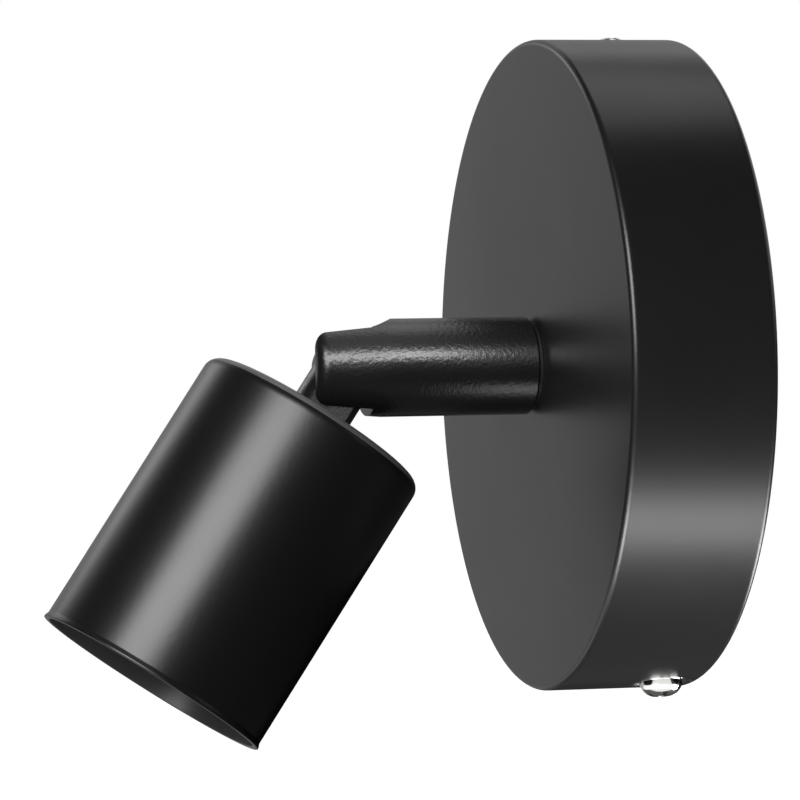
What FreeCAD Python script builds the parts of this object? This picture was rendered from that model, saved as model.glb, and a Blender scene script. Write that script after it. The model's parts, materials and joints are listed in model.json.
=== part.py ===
import FreeCAD, Part
import Sketcher
import math
import os
import re
from FreeCAD import Placement, Rotation, Vector

# A pivoting spotlight for a wall: a round canopy, a short arm that swivels in
# it, and a lamp cup on a knuckle. Millimetres. Row frame: the wall is the plane
# Y = 0, the room is towards -Y, +Z is up, and the origin is the middle of the
# bracket's back face.

# Driving sizes, one for each cell of the sheet.
driving_sizes = {
    # canopy: a pressed steel dish
    "canopy_diameter": "120",
    "canopy_depth": "27",
    "canopy_steel": "1",
    "canopy_front_radius": "1.1",
    "canopy_rear_radius": "1.2",
    "canopy_lip_width": "1",
    # the two side screws, and the dimple that each one sits in
    "side_screw_turn": "15",
    "side_screw_height": "6.7",
    "side_screw_diameter": "4",
    "side_screw_length": "9",
    "side_head_diameter": "9",
    "side_head_height": "3.6",
    "side_head_rounding": "2.6",
    "dimple_diameter": "11.6",
    "dimple_depth": "1.3",
    "dimple_floor_margin": "0.3",
    # mounting bracket: a steel strip with two turned-up tabs
    "bracket_steel": "1.5",
    "bracket_width": "18",
    "bracket_end_gap": "1.4",
    "bracket_tab_height": "11",
    "bracket_bend_radius": "1.5",
    "cable_hole_diameter": "14",
    "wall_hole_spacing": "70",
    "wall_hole_diameter": "4.5",
    # terminal block
    "block_length": "30",
    "block_width": "15",
    "block_height": "12",
    "block_offset": "20",
    "terminal_pitch": "9.5",
    "terminal_height": "6",
    "terminal_diameter": "4.6",
    "terminal_bore": "3",
    "terminal_lead_bore": "2.4",
    "clamp_screw_diameter": "2.6",
    "clamp_screw_length": "3.4",
    "clamp_screw_spacing": "7",
    "clamp_slot_width": "0.6",
    "clamp_slot_depth": "0.8",
    "block_screw_diameter": "3",
    "block_head_diameter": "5.4",
    "block_head_height": "1.8",
    "block_head_rounding": "0.9",
    # earth terminal on the bracket
    "earth_offset": "22",
    "earth_screw_diameter": "4",
    "earth_head_diameter": "7",
    "earth_head_height": "2.4",
    "earth_head_rounding": "1.2",
    "earth_tag_thickness": "0.8",
    "earth_tag_diameter": "8",
    "earth_crimp_diameter": "3.2",
    "earth_crimp_length": "6",
    "earth_crimp_overlap": "0.5",
    # leads
    "lead_diameter": "1.8",
    "lead_spacing": "2.2",
    "lead_joint_gap": "0.7",
    "lead_turn_offset": "4.5",
    "lead_rise": "4.5",
    "lead_dip_angle": "18",
    "lead_dip_length": "7.2",
    "earth_dip_start": "1",
    "earth_dip_end": "9",
    "lead_spread_rise": "5",
    # hollow nipple, M10 x 1, and what is stacked on it inside the canopy
    "thread_diameter": "10",
    "nipple_bore": "7.2",
    "nipple_grip": "9",
    "nipple_flat_depth": "0.6",
    "nipple_end_margin": "1.6",
    "face_washer_thickness": "0.8",
    "face_washer_diameter": "16.4",
    "slide_washer_thickness": "0.8",
    "slide_washer_diameter": "17",
    "stop_washer_thickness": "1",
    "stop_washer_diameter": "17",
    "stop_tab_reach": "13.4",
    "stop_tab_width": "3",
    "stop_stud_radius": "12",
    "stop_stud_diameter": "3",
    "stop_stud_length": "4.8",
    "spring_washer_thickness": "1",
    "spring_washer_diameter": "15",
    "nut_thickness": "3",
    "nut_width": "14",
    "bush_flange_diameter": "9.6",
    "bush_flange_thickness": "1.2",
    "bush_flange_rounding": "0.4",
    "bush_length": "5",
    "bush_wall": "0.5",
    # swivel arm: a barrel whose nose is cut back to one cheek
    "arm_diameter": "18",
    "arm_length": "42.4",
    "arm_turn": "3",
    "arm_bore": "8.6",
    "arm_nose_radius": "2.3",
    "arm_base_chamfer": "0.4",
    "pivot_setback": "7.5",
    "cheek_thickness": "4.3",
    "nose_diameter": "16",
    "taper_length": "13.4",
    "runout_setback": "8.6",
    "runout_radius": "4",
    "chin_level": "6.5",
    "chin_setback": "3.3",
    "cheek_thread_margin": "1.4",
    # knuckle and its pivot
    "knuckle_diameter": "11.5",
    "knuckle_far_side": "4.6",
    "knuckle_slot_width": "4.6",
    "knuckle_slot_depth": "4.6",
    "knuckle_slot_rise": "1.2",
    "stem_bore": "8.4",
    "pivot_screw_diameter": "4",
    "pivot_head_diameter": "7.6",
    "pivot_head_height": "2.4",
    "pivot_head_rounding": "1.2",
    "pivot_hex_width": "2.5",
    "pivot_hex_depth": "1.2",
    "pivot_washer_thickness": "0.3",
    "pivot_washer_diameter": "9",
    "pivot_spring_thickness": "0.8",
    "pivot_spring_diameter": "7.6",
    "head_tilt": "56.1",
    # lamp cup
    "cup_start": "11.2",
    "cup_diameter": "45",
    "cup_length": "56.7",
    "cup_steel": "0.8",
    "cup_shoulder_radius": "2.6",
    "cup_lip_width": "0.5",
    "cup_washer_thickness": "0.8",
    "cup_washer_diameter": "15",
    "stem_tail_length": "13",
    # lampholder for an E27 lamp
    "holder_gap": "2.2",
    "holder_wall": "2.2",
    "holder_neck_diameter": "15",
    "holder_neck_length": "7",
    "holder_cone_length": "9",
    "holder_rim_setback": "3",
    "holder_cap_length": "9",
    "holder_shoulder_rounding": "2.2",
    "holder_rim_rounding": "1.1",
    "shell_bore": "24.6",
    "shell_wall": "1.1",
    "shell_length": "20.8",
    "shell_gap": "0.2",
    "contact_base_thickness": "6",
    "contact_length": "16",
    "contact_width": "5",
    "contact_thickness": "0.5",
    "contact_rise": "2.2",
    "contact_pocket_depth": "2.9",
    "holder_screw_diameter": "3",
    "holder_screw_head": "5",
    "holder_screw_head_height": "1.5",
    "holder_screw_head_rounding": "0.75",
    "holder_screw_length": "5",
    "holder_screw_spacing": "20",
    "terminal_entry_spacing": "13",
    "terminal_entry_depth": "3",
    # clearances
    "running_clearance": "0.05",
    "side_play": "0.03",
    "fitting_clearance": "0.1",
    "hole_clearance": "0.25",
    "thread_clearance": "0.02",
    "cut_margin": "1",
}

document = FreeCAD.newDocument("wall_spotlight")
sheet = document.addObject("Spreadsheet::Sheet", "Sizes")
for row, (alias, number) in enumerate(driving_sizes.items(), start=1):
    sheet.set(f"A{row}", alias)
    sheet.set(f"B{row}", number)
    sheet.setAlias(f"B{row}", alias)
document.recompute()

# An outline's corners start on this circle, clear of both axes, before their
# constraints move them.
draft_centre = 50
draft_radius = 10
# The share of the shorter run that an arc in a lead takes.
arc_share = 0.45

subparts = []
alias_word = re.compile(r"\b([a-z]+_[a-z_]+)\b")
x_axis = Vector(1, 0, 0)
y_axis = Vector(0, 1, 0)
z_axis = Vector(0, 0, 1)
along_x = Rotation(y_axis, 90)
along_y = Rotation(x_axis, -90)


def size(alias):
    return float(sheet.get(alias))


def bind(thing, name, formula):
    thing.setExpression(name, alias_word.sub(r"Sizes.\1", formula))


# ---------------------------------------------------------------- frames

# In the wall frame z runs from the wall into the room and y is up. The arm
# frame is turned about that z as the arm stands in the photo. In the head
# frame z runs from the pivot to the cup's mouth.
wall_frame = Placement(Vector(), Rotation(x_axis, 90))
bracket_turn = Placement(Vector(), Rotation(z_axis, size("side_screw_turn")))
bracket_frame = wall_frame * bracket_turn
pivot_reach = size("arm_length") - size("pivot_setback")
pivot_height = size("canopy_depth") + pivot_reach
arm_turn = Placement(Vector(), Rotation(z_axis, size("arm_turn")))
arm_frame = wall_frame * arm_turn
head_frame = arm_frame * Placement(
    Vector(0, 0, pivot_height), Rotation(x_axis, size("head_tilt")))


def place(x=0.0, y=0.0, z=0.0, turn=Rotation()):
    return Placement(Vector(x, y, z), turn)


# ---------------------------------------------------------------- makers

def finish(thing, node, frame):
    """Gives a sub-part its name and its place in the row frame."""
    thing.Label = node
    thing.Placement = frame
    subparts.append(thing)
    return thing


def origin_plane(body, role):
    return next(item for item in body.Origin.OriginFeatures if item.Role == role)


def polygon_sketch(body, name, role, corners):
    """A closed outline whose corners are bound to the sheet, one by one."""
    sketch = body.newObject("Sketcher::SketchObject", name)
    sketch.AttachmentSupport = [(origin_plane(body, role), "")]
    sketch.MapMode = "FlatFace"
    count = len(corners)
    spread = [2 * math.pi * index / count for index in range(count)]
    centre = Vector(draft_centre, draft_centre, 0)
    starts = [centre + Vector(math.cos(a), math.sin(a), 0) * draft_radius for a in spread]
    for index in range(count):
        following = (index + 1) % count
        sketch.addGeometry(Part.LineSegment(starts[index], starts[following]), False)
    for index in range(count):
        following = (index + 1) % count
        sketch.addConstraint(Sketcher.Constraint("Coincident", index, 2, following, 1))
    for index, (across, up) in enumerate(corners):
        for kind, formula, start in (
            ("DistanceX", across, starts[index].x),
            ("DistanceY", up, starts[index].y),
        ):
            number = sketch.addConstraint(Sketcher.Constraint(kind, -1, 1, index, 1, start))
            bind(sketch, f"Constraints[{number}]", formula)
    return sketch


def ring_edges(shape, corner):
    """Names of the round edges that a corner of the outline has swept."""
    names = []
    for index, edge in enumerate(shape.Edges, start=1):
        curve = edge.Curve
        if not isinstance(curve, Part.Circle):
            continue
        if abs(curve.Radius - corner.x) < 1e-4 and abs(curve.Center.z - corner.y) < 1e-4:
            names.append(f"Edge{index}")
    return names


def turned(name, corners, rounds=()):
    """A body turned about its z axis: corners are (radius, height) formulas,
    rounds are (corner number, radius formula)."""
    body = document.addObject("PartDesign::Body", name)
    sketch = polygon_sketch(body, name + "_outline", "XZ_Plane", corners)
    feature = body.newObject("PartDesign::Revolution", name + "_turned")
    feature.Profile = sketch
    feature.ReferenceAxis = (sketch, ["V_Axis"])
    feature.Angle = 360
    sketch.Visibility = False
    document.recompute()
    corner_points = [line.StartPoint for line in sketch.Geometry]
    for number, radius in rounds:
        names = ring_edges(body.Tip.Shape, corner_points[number])
        fillet = body.newObject("PartDesign::Fillet", f"{name}_round{number}")
        fillet.Base = (feature, names)
        bind(fillet, "Radius", radius)
        document.recompute()
        feature = fillet
    body.Tip = feature
    document.recompute()
    return body


def rod(name, diameter, length, where=Placement()):
    piece = document.addObject("Part::Cylinder", name)
    bind(piece, "Radius", f"({diameter}) / 2")
    bind(piece, "Height", length)
    piece.Placement = where
    return piece


def block(name, across, deep, high, where=Placement()):
    piece = document.addObject("Part::Box", name)
    bind(piece, "Length", across)
    bind(piece, "Width", deep)
    bind(piece, "Height", high)
    piece.Placement = where
    return piece


def cone(name, first, second, length, where=Placement()):
    piece = document.addObject("Part::Cone", name)
    bind(piece, "Radius1", f"({first}) / 2")
    bind(piece, "Radius2", f"({second}) / 2")
    bind(piece, "Height", length)
    piece.Placement = where
    return piece


def hexagon(name, width, high, where=Placement()):
    piece = document.addObject("Part::Prism", name)
    piece.Polygon = 6
    bind(piece, "Circumradius", f"({width}) / 2 / cos(30)")
    bind(piece, "Height", high)
    piece.Placement = where
    return piece


def joined(name, pieces):
    fused = document.addObject("Part::MultiFuse", name)
    fused.Shapes = pieces
    return fused


def cut(name, base, tools):
    remains = document.addObject("Part::Cut", name)
    remains.Base = base
    remains.Tool = tools[0] if len(tools) == 1 else joined(name + "_tools", tools)
    return remains


def overlap(name, first, second):
    shared = document.addObject("Part::Common", name)
    shared.Base = first
    shared.Tool = second
    return shared


def group(name, pieces):
    together = document.addObject("Part::Compound", name)
    together.Links = pieces
    return together


def washer(name, diameter, hole, thickness, height):
    ring = turned(name, [
        (f"({hole}) / 2", "0"),
        (f"({diameter}) / 2", "0"),
        (f"({diameter}) / 2", thickness),
        (f"({hole}) / 2", thickness),
    ])
    ring.Placement = place(z=height)
    return ring


def headed_screw(name, shank, length, head, head_height, rounding):
    """A screw with its thread below z = 0 and its rounded head above."""
    return turned(name, [
        ("0", f"-({length})"),
        (f"({shank}) / 2", f"-({length})"),
        (f"({shank}) / 2", "0"),
        (f"({head}) / 2", "0"),
        (f"({head}) / 2", head_height),
        ("0", head_height),
    ], [(4, rounding)])


def lead(node, points, frame):
    """A wire along straight runs with a tangent arc at each point between."""
    edges = []
    radii = []
    start = points[0]
    for before, corner, after in zip(points, points[1:], points[2:]):
        run_in = corner - before
        run_out = after - corner
        half_turn = run_in.getAngle(run_out) / 2
        setback = arc_share * min(run_in.Length, run_out.Length)
        radius = setback / math.tan(half_turn)
        run_in.normalize()
        run_out.normalize()
        arc_start = corner - run_in * setback
        arc_end = corner + run_out * setback
        bisector = run_out - run_in
        bisector.normalize()
        centre = corner + bisector * (radius / math.cos(half_turn))
        middle = centre - bisector * radius
        edges.append(Part.LineSegment(start, arc_start).toShape())
        edges.append(Part.Arc(arc_start, middle, arc_end).toShape())
        radii.append(radius)
        start = arc_end
    edges.append(Part.LineSegment(start, points[-1]).toShape())
    path = Part.Wire(edges)
    section_radius = size("lead_diameter") / 2
    direction = points[1] - points[0]
    section = Part.Wire(Part.makeCircle(section_radius, points[0], direction))
    tube = path.makePipeShell([section], True, True)
    expected = math.pi * section_radius ** 2 * path.Length
    listed = ", ".join(f"{radius:.1f}" for radius in radii)
    print(f"{node}: length {path.Length:.1f}, radii {listed}, volume ratio {tube.Volume / expected:.4f}")
    wire = document.addObject("Part::Feature", node)
    wire.Shape = tube
    return finish(wire, node, frame)


# ---------------------------------------------------------------- canopy

canopy_radius = size("canopy_diameter") / 2


def make_canopy():
    radius = "canopy_diameter / 2"
    inner = "canopy_diameter / 2 - canopy_steel"
    opening = "canopy_diameter / 2 - canopy_rear_radius - canopy_lip_width"
    hole = "thread_diameter / 2 + running_clearance"
    dish = turned("canopy_dish", [
        (hole, "canopy_depth"),
        (radius, "canopy_depth"),
        (radius, "0"),
        (opening, "0"),
        (opening, "canopy_steel"),
        (inner, "canopy_steel"),
        (inner, "canopy_depth - canopy_steel"),
        (hole, "canopy_depth - canopy_steel"),
    ], [
        (1, "canopy_front_radius"),
        (2, "canopy_rear_radius"),
        (5, "canopy_rear_radius - canopy_steel"),
        (6, "canopy_front_radius - canopy_steel"),
    ])
    floor = "(side_head_diameter + 2 * dimple_floor_margin)"
    slope = f"(dimple_diameter - {floor}) / dimple_depth"
    skins = []
    recesses = []
    for side in (0, 180):
        turn = Placement(Vector(), Rotation(z_axis, size("side_screw_turn") + side))
        floor_radius = canopy_radius - size("dimple_depth")
        skin_start = floor_radius - size("canopy_steel")
        height = size("side_screw_height")
        skins.append(cone(
            f"dimple_skin_{side}",
            f"{floor} + canopy_steel",
            "dimple_diameter + canopy_steel",
            "dimple_depth + canopy_steel / 2",
            turn * place(y=skin_start, z=height, turn=along_y)))
        recesses.append(cone(
            f"dimple_recess_{side}",
            floor,
            f"{floor} + {slope} * (dimple_depth + cut_margin)",
            "dimple_depth + cut_margin",
            turn * place(y=floor_radius, z=height, turn=along_y)))
        recesses.append(rod(
            f"side_hole_{side}",
            "side_screw_diameter + 2 * hole_clearance",
            "canopy_steel + 2 * cut_margin",
            turn * place(y=skin_start - size("cut_margin"), z=height, turn=along_y)))
    whole = joined("canopy_with_dimples", [dish] + skins)
    finish(cut("canopy_pressed", whole, recesses), "canopy", wall_frame)


def make_canopy_screws():
    screws = []
    for side in (0, 180):
        screw = headed_screw(
            f"side_screw_{side}", "side_screw_diameter", "side_screw_length",
            "side_head_diameter", "side_head_height", "side_head_rounding")
        seat = canopy_radius - size("dimple_depth")
        turn = Placement(Vector(), Rotation(z_axis, side))
        screw.Placement = turn * place(y=seat, z=size("side_screw_height"), turn=along_y)
        screws.append(screw)
    finish(group("side_screws", screws), "canopy_screws", bracket_frame)


def make_stop_stud():
    height = canopy_inside - size("stop_stud_length")
    stud = rod("stop_pin", "stop_stud_diameter", "stop_stud_length")
    finish(stud, "stop_stud", wall_frame * place(y=size("stop_stud_radius"), z=height))


# ---------------------------------------------------------------- bracket

bracket_reach = (canopy_radius - size("canopy_rear_radius")
                 - size("canopy_lip_width") - size("bracket_end_gap"))
bracket_top = size("bracket_steel")


def make_bracket():
    reach = "(canopy_diameter / 2 - canopy_rear_radius - canopy_lip_width - bracket_end_gap)"
    inside = f"({reach} - bracket_steel)"
    body = document.addObject("PartDesign::Body", "bracket_strip")
    sketch = polygon_sketch(body, "bracket_outline", "YZ_Plane", [
        (f"-{reach}", "0"),
        (reach, "0"),
        (reach, "bracket_tab_height"),
        (inside, "bracket_tab_height"),
        (inside, "bracket_steel"),
        (f"-{inside}", "bracket_steel"),
        (f"-{inside}", "bracket_tab_height"),
        (f"-{reach}", "bracket_tab_height"),
    ])
    strip = body.newObject("PartDesign::Pad", "bracket_pad")
    strip.Profile = sketch
    strip.SideType = "Symmetric"
    bind(strip, "Length", "bracket_width")
    sketch.Visibility = False
    document.recompute()
    bends = (
        ("bracket_bend_outside", bracket_reach, 0.0, "bracket_bend_radius + bracket_steel"),
        ("bracket_bend_inside", bracket_reach - bracket_top, bracket_top, "bracket_bend_radius"),
    )
    feature = strip
    for name, across, up, radius in bends:
        names = []
        for index, edge in enumerate(feature.Shape.Edges, start=1):
            middle = edge.CenterOfMass
            if abs(abs(middle.y) - across) < 1e-4 and abs(middle.z - up) < 1e-4:
                names.append(f"Edge{index}")
        bend = body.newObject("PartDesign::Fillet", name)
        bend.Base = (feature, names)
        bind(bend, "Radius", radius)
        document.recompute()
        feature = bend
    body.Tip = feature
    through = "bracket_steel + 2 * cut_margin"
    below = -size("cut_margin")
    half_spacing = size("wall_hole_spacing") / 2
    holes = [rod("cable_hole", "cable_hole_diameter", through, place(z=below))]
    for side in (-1, 1):
        holes.append(rod(
            f"wall_hole_{side + 1}", "wall_hole_diameter", through,
            place(y=side * half_spacing, z=below)))
    holes.append(rod(
        "earth_hole", "earth_screw_diameter + 2 * thread_clearance", through,
        place(y=-size("earth_offset"), z=below)))
    holes.append(rod(
        "block_hole", "block_screw_diameter + 2 * thread_clearance", through,
        place(x=size("terminal_pitch") / 2, y=size("block_offset"), z=below)))
    holes.append(rod(
        "tab_holes", "side_screw_diameter + 2 * thread_clearance",
        f"2 * ({reach} + cut_margin)",
        place(y=-bracket_reach - size("cut_margin"), z=size("side_screw_height"), turn=along_y)))
    finish(cut("bracket_drilled", body, holes), "mounting_bracket", bracket_frame)


# ---------------------------------------------------------------- terminals

terminal_xs = [-size("terminal_pitch"), 0.0, size("terminal_pitch")]
terminal_z = bracket_top + size("terminal_height")
block_front = size("block_offset") - size("block_width") / 2
clamp_ys = [size("block_offset") + side * size("clamp_screw_spacing") / 2 for side in (-1, 1)]
clamp_foot = terminal_z + size("terminal_bore") / 2


def make_terminal_block():
    case = block("block_case", "block_length", "block_width", "block_height", place(
        -size("block_length") / 2, block_front, bracket_top))
    holes = []
    margin = size("cut_margin")
    for number, x in enumerate(terminal_xs):
        holes.append(rod(
            f"terminal_tunnel_{number}", "terminal_diameter + 2 * thread_clearance",
            "block_width + 2 * cut_margin",
            place(x, block_front - margin, terminal_z, along_y)))
        for end, y in enumerate(clamp_ys):
            holes.append(rod(
                f"clamp_well_{number}_{end}",
                "clamp_screw_diameter + 2 * fitting_clearance", "block_height",
                place(x, y, terminal_z)))
    fixing_x = size("terminal_pitch") / 2
    holes.append(rod(
        "block_fixing_hole", "block_screw_diameter + 2 * fitting_clearance",
        "block_height + 2 * cut_margin",
        place(fixing_x, size("block_offset"), bracket_top - margin)))
    finish(cut("block_drilled", case, holes), "terminal_block", bracket_frame)


def make_terminal_barrels():
    barrels = []
    for number, x in enumerate(terminal_xs):
        where = place(x, block_front, terminal_z, along_y)
        bar = rod(f"barrel_bar_{number}", "terminal_diameter", "block_width", where)
        lead_side = place(x, block_front - size("cut_margin"), terminal_z, along_y)
        supply_side = place(x, size("block_offset"), terminal_z, along_y)
        half = "block_width / 2 + cut_margin"
        bores = [
            rod(f"barrel_lead_bore_{number}", "terminal_lead_bore", half, lead_side),
            rod(f"barrel_supply_bore_{number}", "terminal_bore", half, supply_side),
        ]
        for end, y in enumerate(clamp_ys):
            bores.append(rod(
                f"barrel_tapping_{number}_{end}",
                "clamp_screw_diameter + 2 * thread_clearance", "terminal_diameter",
                place(x, y, terminal_z)))
        barrels.append(cut(f"barrel_{number}", bar, bores))
    finish(group("barrels", barrels), "terminal_barrels", bracket_frame)


def make_clamp_screws():
    screws = []
    for number, x in enumerate(terminal_xs):
        for end, y in enumerate(clamp_ys):
            name = f"clamp_{number}_{end}"
            body = rod(name + "_body", "clamp_screw_diameter", "clamp_screw_length",
                       place(x, y, clamp_foot))
            slot_z = clamp_foot + size("clamp_screw_length") - size("clamp_slot_depth")
            slot = block(name + "_slot", "clamp_screw_diameter + 2 * cut_margin",
                         "clamp_slot_width", "clamp_slot_depth + cut_margin", place(
                             x - size("clamp_screw_diameter") / 2 - size("cut_margin"),
                             y - size("clamp_slot_width") / 2, slot_z))
            screws.append(cut(name, body, [slot]))
    finish(group("clamp_screws", screws), "terminal_screws", bracket_frame)


def make_block_screw():
    screw = headed_screw(
        "block_fixing", "block_screw_diameter", "block_height + bracket_steel",
        "block_head_diameter", "block_head_height", "block_head_rounding")
    x = size("terminal_pitch") / 2
    top = bracket_top + size("block_height")
    finish(screw, "block_screw", bracket_frame * place(x, size("block_offset"), top))


def make_earth_tag():
    y = -size("earth_offset")
    plate = rod("tag_plate", "earth_tag_diameter", "earth_tag_thickness", place(y=y, z=bracket_top))
    crimp = rod("tag_crimp", "earth_crimp_diameter", "earth_crimp_length", place(
        y=y + size("earth_tag_diameter") / 2 - size("earth_crimp_overlap"), z=crimp_z, turn=along_y))
    solid = joined("tag_blank", [plate, crimp])
    hole = rod("tag_hole", "earth_screw_diameter + 2 * fitting_clearance",
               "earth_tag_thickness + 2 * cut_margin", place(y=y, z=bracket_top - size("cut_margin")))
    socket = rod("tag_socket", "lead_diameter + 2 * thread_clearance",
                 "earth_crimp_length", place(y=earth_lead_end, z=crimp_z, turn=along_y))
    finish(cut("tag_drilled", solid, [hole, socket]), "earth_tag", bracket_frame)


earth_lead_end = (-size("earth_offset") + size("earth_tag_diameter") / 2
                  + size("earth_crimp_overlap"))
crimp_z = bracket_top + size("earth_crimp_diameter") / 2 + size("fitting_clearance")


def make_earth_screw():
    screw = headed_screw(
        "earth_fixing", "earth_screw_diameter", "earth_tag_thickness + bracket_steel",
        "earth_head_diameter", "earth_head_height", "earth_head_rounding")
    seat = bracket_top + size("earth_tag_thickness")
    finish(screw, "earth_screw", bracket_frame * place(y=-size("earth_offset"), z=seat))


# ---------------------------------------------------------------- leads

lead_half_gap = size("lead_spacing") / 2
lead_radius = size("lead_diameter") / 2
pivot_side_offset = size("pivot_screw_diameter") / 2 + lead_radius + size("running_clearance")


def make_base_leads():
    """From the terminal block into the nipple, where they twist."""
    clamp_end = block_front + size("block_width") / 2
    unturn = bracket_turn.inverse() * arm_turn
    for node, side in (("live_lead", -1), ("neutral_lead", 1)):
        x = side * size("terminal_pitch")
        points = [
            Vector(x, clamp_end, terminal_z),
            Vector(x, size("lead_turn_offset"), terminal_z),
            unturn.multVec(Vector(side * lead_half_gap, 0, terminal_z + size("lead_rise"))),
            unturn.multVec(Vector(side * lead_half_gap, 0, size("canopy_depth"))),
        ]
        lead(node, points, bracket_frame)
    lead("earth_lead", [
        Vector(0, clamp_end, terminal_z),
        Vector(0, -size("earth_dip_start"), terminal_z),
        Vector(0, -size("earth_dip_end"), crimp_z),
        Vector(0, earth_lead_end, crimp_z),
    ], bracket_frame)


def make_arm_leads():
    """Through the nipple and the arm to the knuckle."""
    end_radius = size("knuckle_diameter") / 2 + size("fitting_clearance") + size("lead_joint_gap")
    end_z = pivot_height - math.sqrt(end_radius ** 2 - pivot_side_offset ** 2)
    dip = math.radians(size("lead_dip_angle"))
    dip_y = size("lead_dip_length") * math.sin(dip) - pivot_side_offset
    dip_z = end_z - size("lead_dip_length") * math.cos(dip)
    for node, side in (("arm_live_lead", -1), ("arm_neutral_lead", 1)):
        x = side * lead_half_gap
        lead(node, [
            Vector(x, 0, size("canopy_depth")),
            Vector(x, 0, (size("canopy_depth") + dip_z) / 2),
            Vector(x, dip_y, dip_z),
            Vector(x, -pivot_side_offset, end_z),
        ], arm_frame)


def make_head_leads():
    """From the knuckle to the lampholder's terminals."""
    start_radius = size("knuckle_diameter") / 2 + size("fitting_clearance")
    tilt = math.radians(size("head_tilt"))
    back = math.sqrt(start_radius ** 2 - pivot_side_offset ** 2)
    start_y = -back * math.sin(tilt) - pivot_side_offset * math.cos(tilt)
    start_z = -back * math.cos(tilt) + pivot_side_offset * math.sin(tilt)
    turn = tilt - math.radians(size("lead_dip_angle"))
    bend = start_z - (start_y + pivot_side_offset) / math.tan(turn)
    for node, side in (("head_live_lead", -1), ("head_neutral_lead", 1)):
        x = side * lead_half_gap
        entry_x = side * size("terminal_entry_spacing") / 2
        spread_z = contact_base_start - size("lead_spread_rise")
        lead(node, [
            Vector(x, start_y, start_z),
            Vector(x, -pivot_side_offset, bend),
            Vector(x, -pivot_side_offset, stem_end + lead_radius),
            Vector(entry_x, 0, spread_z),
            Vector(entry_x, 0, contact_base_start + size("terminal_entry_depth")),
        ], head_frame)


# ---------------------------------------------------------------- nipple stack

canopy_inside = size("canopy_depth") - size("canopy_steel")
slide_height = canopy_inside - size("slide_washer_thickness")
stop_height = slide_height - size("stop_washer_thickness")
spring_height = stop_height - size("spring_washer_thickness")
nut_height = spring_height - size("nut_thickness")
nipple_foot = nut_height - size("nipple_end_margin") - size("bush_flange_thickness")
arm_start = size("canopy_depth") + size("face_washer_thickness")


def make_nipple():
    start = nut_height - size("nipple_end_margin")
    tube = turned("nipple_tube", [
        ("nipple_bore / 2", "0"),
        ("thread_diameter / 2", "0"),
        ("thread_diameter / 2", nipple_length),
        ("nipple_bore / 2", nipple_length),
    ])
    margin = size("cut_margin")
    radius = size("thread_diameter") / 2
    flat = block("nipple_flat", "thread_diameter", "thread_diameter + 2 * cut_margin",
                 nipple_flat_length + " + cut_margin", place(
                     radius - size("nipple_flat_depth"), -radius - margin, -margin))
    finish(cut("nipple_keyed", tube, [flat]), "hollow_nipple", arm_frame * place(z=start))


nipple_flat_length = ("(nipple_end_margin + nut_thickness + spring_washer_thickness"
                      " + stop_washer_thickness + slide_washer_thickness / 2)")
nipple_length = ("(nipple_end_margin + nut_thickness + spring_washer_thickness"
                 " + stop_washer_thickness + slide_washer_thickness + canopy_steel"
                 " + face_washer_thickness + nipple_grip)")
nipple_hole = "thread_diameter + 2 * thread_clearance"


def make_face_washer():
    ring = washer("face_ring", "face_washer_diameter", "thread_diameter + 2 * fitting_clearance",
                  "face_washer_thickness", 0)
    finish(ring, "face_washer", arm_frame * place(z=size("canopy_depth")))


def make_slide_washer():
    ring = washer("slide_ring", "slide_washer_diameter", "thread_diameter + 2 * fitting_clearance",
                  "slide_washer_thickness", 0)
    finish(ring, "slide_washer", arm_frame * place(z=slide_height))


def make_stop_washer():
    disc = rod("stop_disc", "stop_washer_diameter", "stop_washer_thickness")
    tab = block("stop_tab", "stop_tab_width", "stop_tab_reach", "stop_washer_thickness", place(
        -size("stop_tab_width") / 2, -size("stop_tab_reach"), 0))
    blank = joined("stop_blank", [disc, tab])
    margin = size("cut_margin")
    opening = rod("stop_opening", nipple_hole, "stop_washer_thickness + 2 * cut_margin",
                  place(z=-margin))
    radius = size("thread_diameter") / 2
    width = "thread_diameter - nipple_flat_depth + 2 * thread_clearance"
    keyed = block("stop_key", width, "thread_diameter + 2 * cut_margin",
                  "stop_washer_thickness + 2 * cut_margin", place(
                      -radius - size("thread_clearance"), -radius - margin, -margin))
    hole = overlap("stop_hole", opening, keyed)
    finish(cut("stop_keyed", blank, [hole]), "stop_washer", arm_frame * place(z=stop_height))


def make_spring_washer():
    ring = washer("spring_ring", "spring_washer_diameter",
                  "thread_diameter + 2 * fitting_clearance", "spring_washer_thickness", 0)
    finish(ring, "spring_washer", arm_frame * place(z=spring_height))


def hex_nut(name):
    nut = hexagon(name + "_hexagon", "nut_width", "nut_thickness")
    hole = rod(name + "_thread", nipple_hole, "nut_thickness + 2 * cut_margin",
               place(z=-size("cut_margin")))
    return cut(name, nut, [hole])


def make_nipple_nut():
    finish(hex_nut("canopy_nut"), "nipple_nut", arm_frame * place(z=nut_height))


def make_bush():
    bore = "nipple_bore / 2 - thread_clearance - bush_wall"
    bush = turned("bush_body", [
        (bore, "0"),
        ("bush_flange_diameter / 2", "0"),
        ("bush_flange_diameter / 2", "bush_flange_thickness"),
        ("nipple_bore / 2 - thread_clearance", "bush_flange_thickness"),
        ("nipple_bore / 2 - thread_clearance", "bush_flange_thickness + bush_length"),
        (bore, "bush_flange_thickness + bush_length"),
    ], [(1, "bush_flange_rounding")])
    finish(bush, "nipple_bush", arm_frame * place(z=nipple_foot))


# ---------------------------------------------------------------- arm

arm_radius = size("arm_diameter") / 2
cheek_face = arm_radius - size("cheek_thickness")
runout_start = pivot_reach - size("runout_setback") - size("face_washer_thickness")


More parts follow.
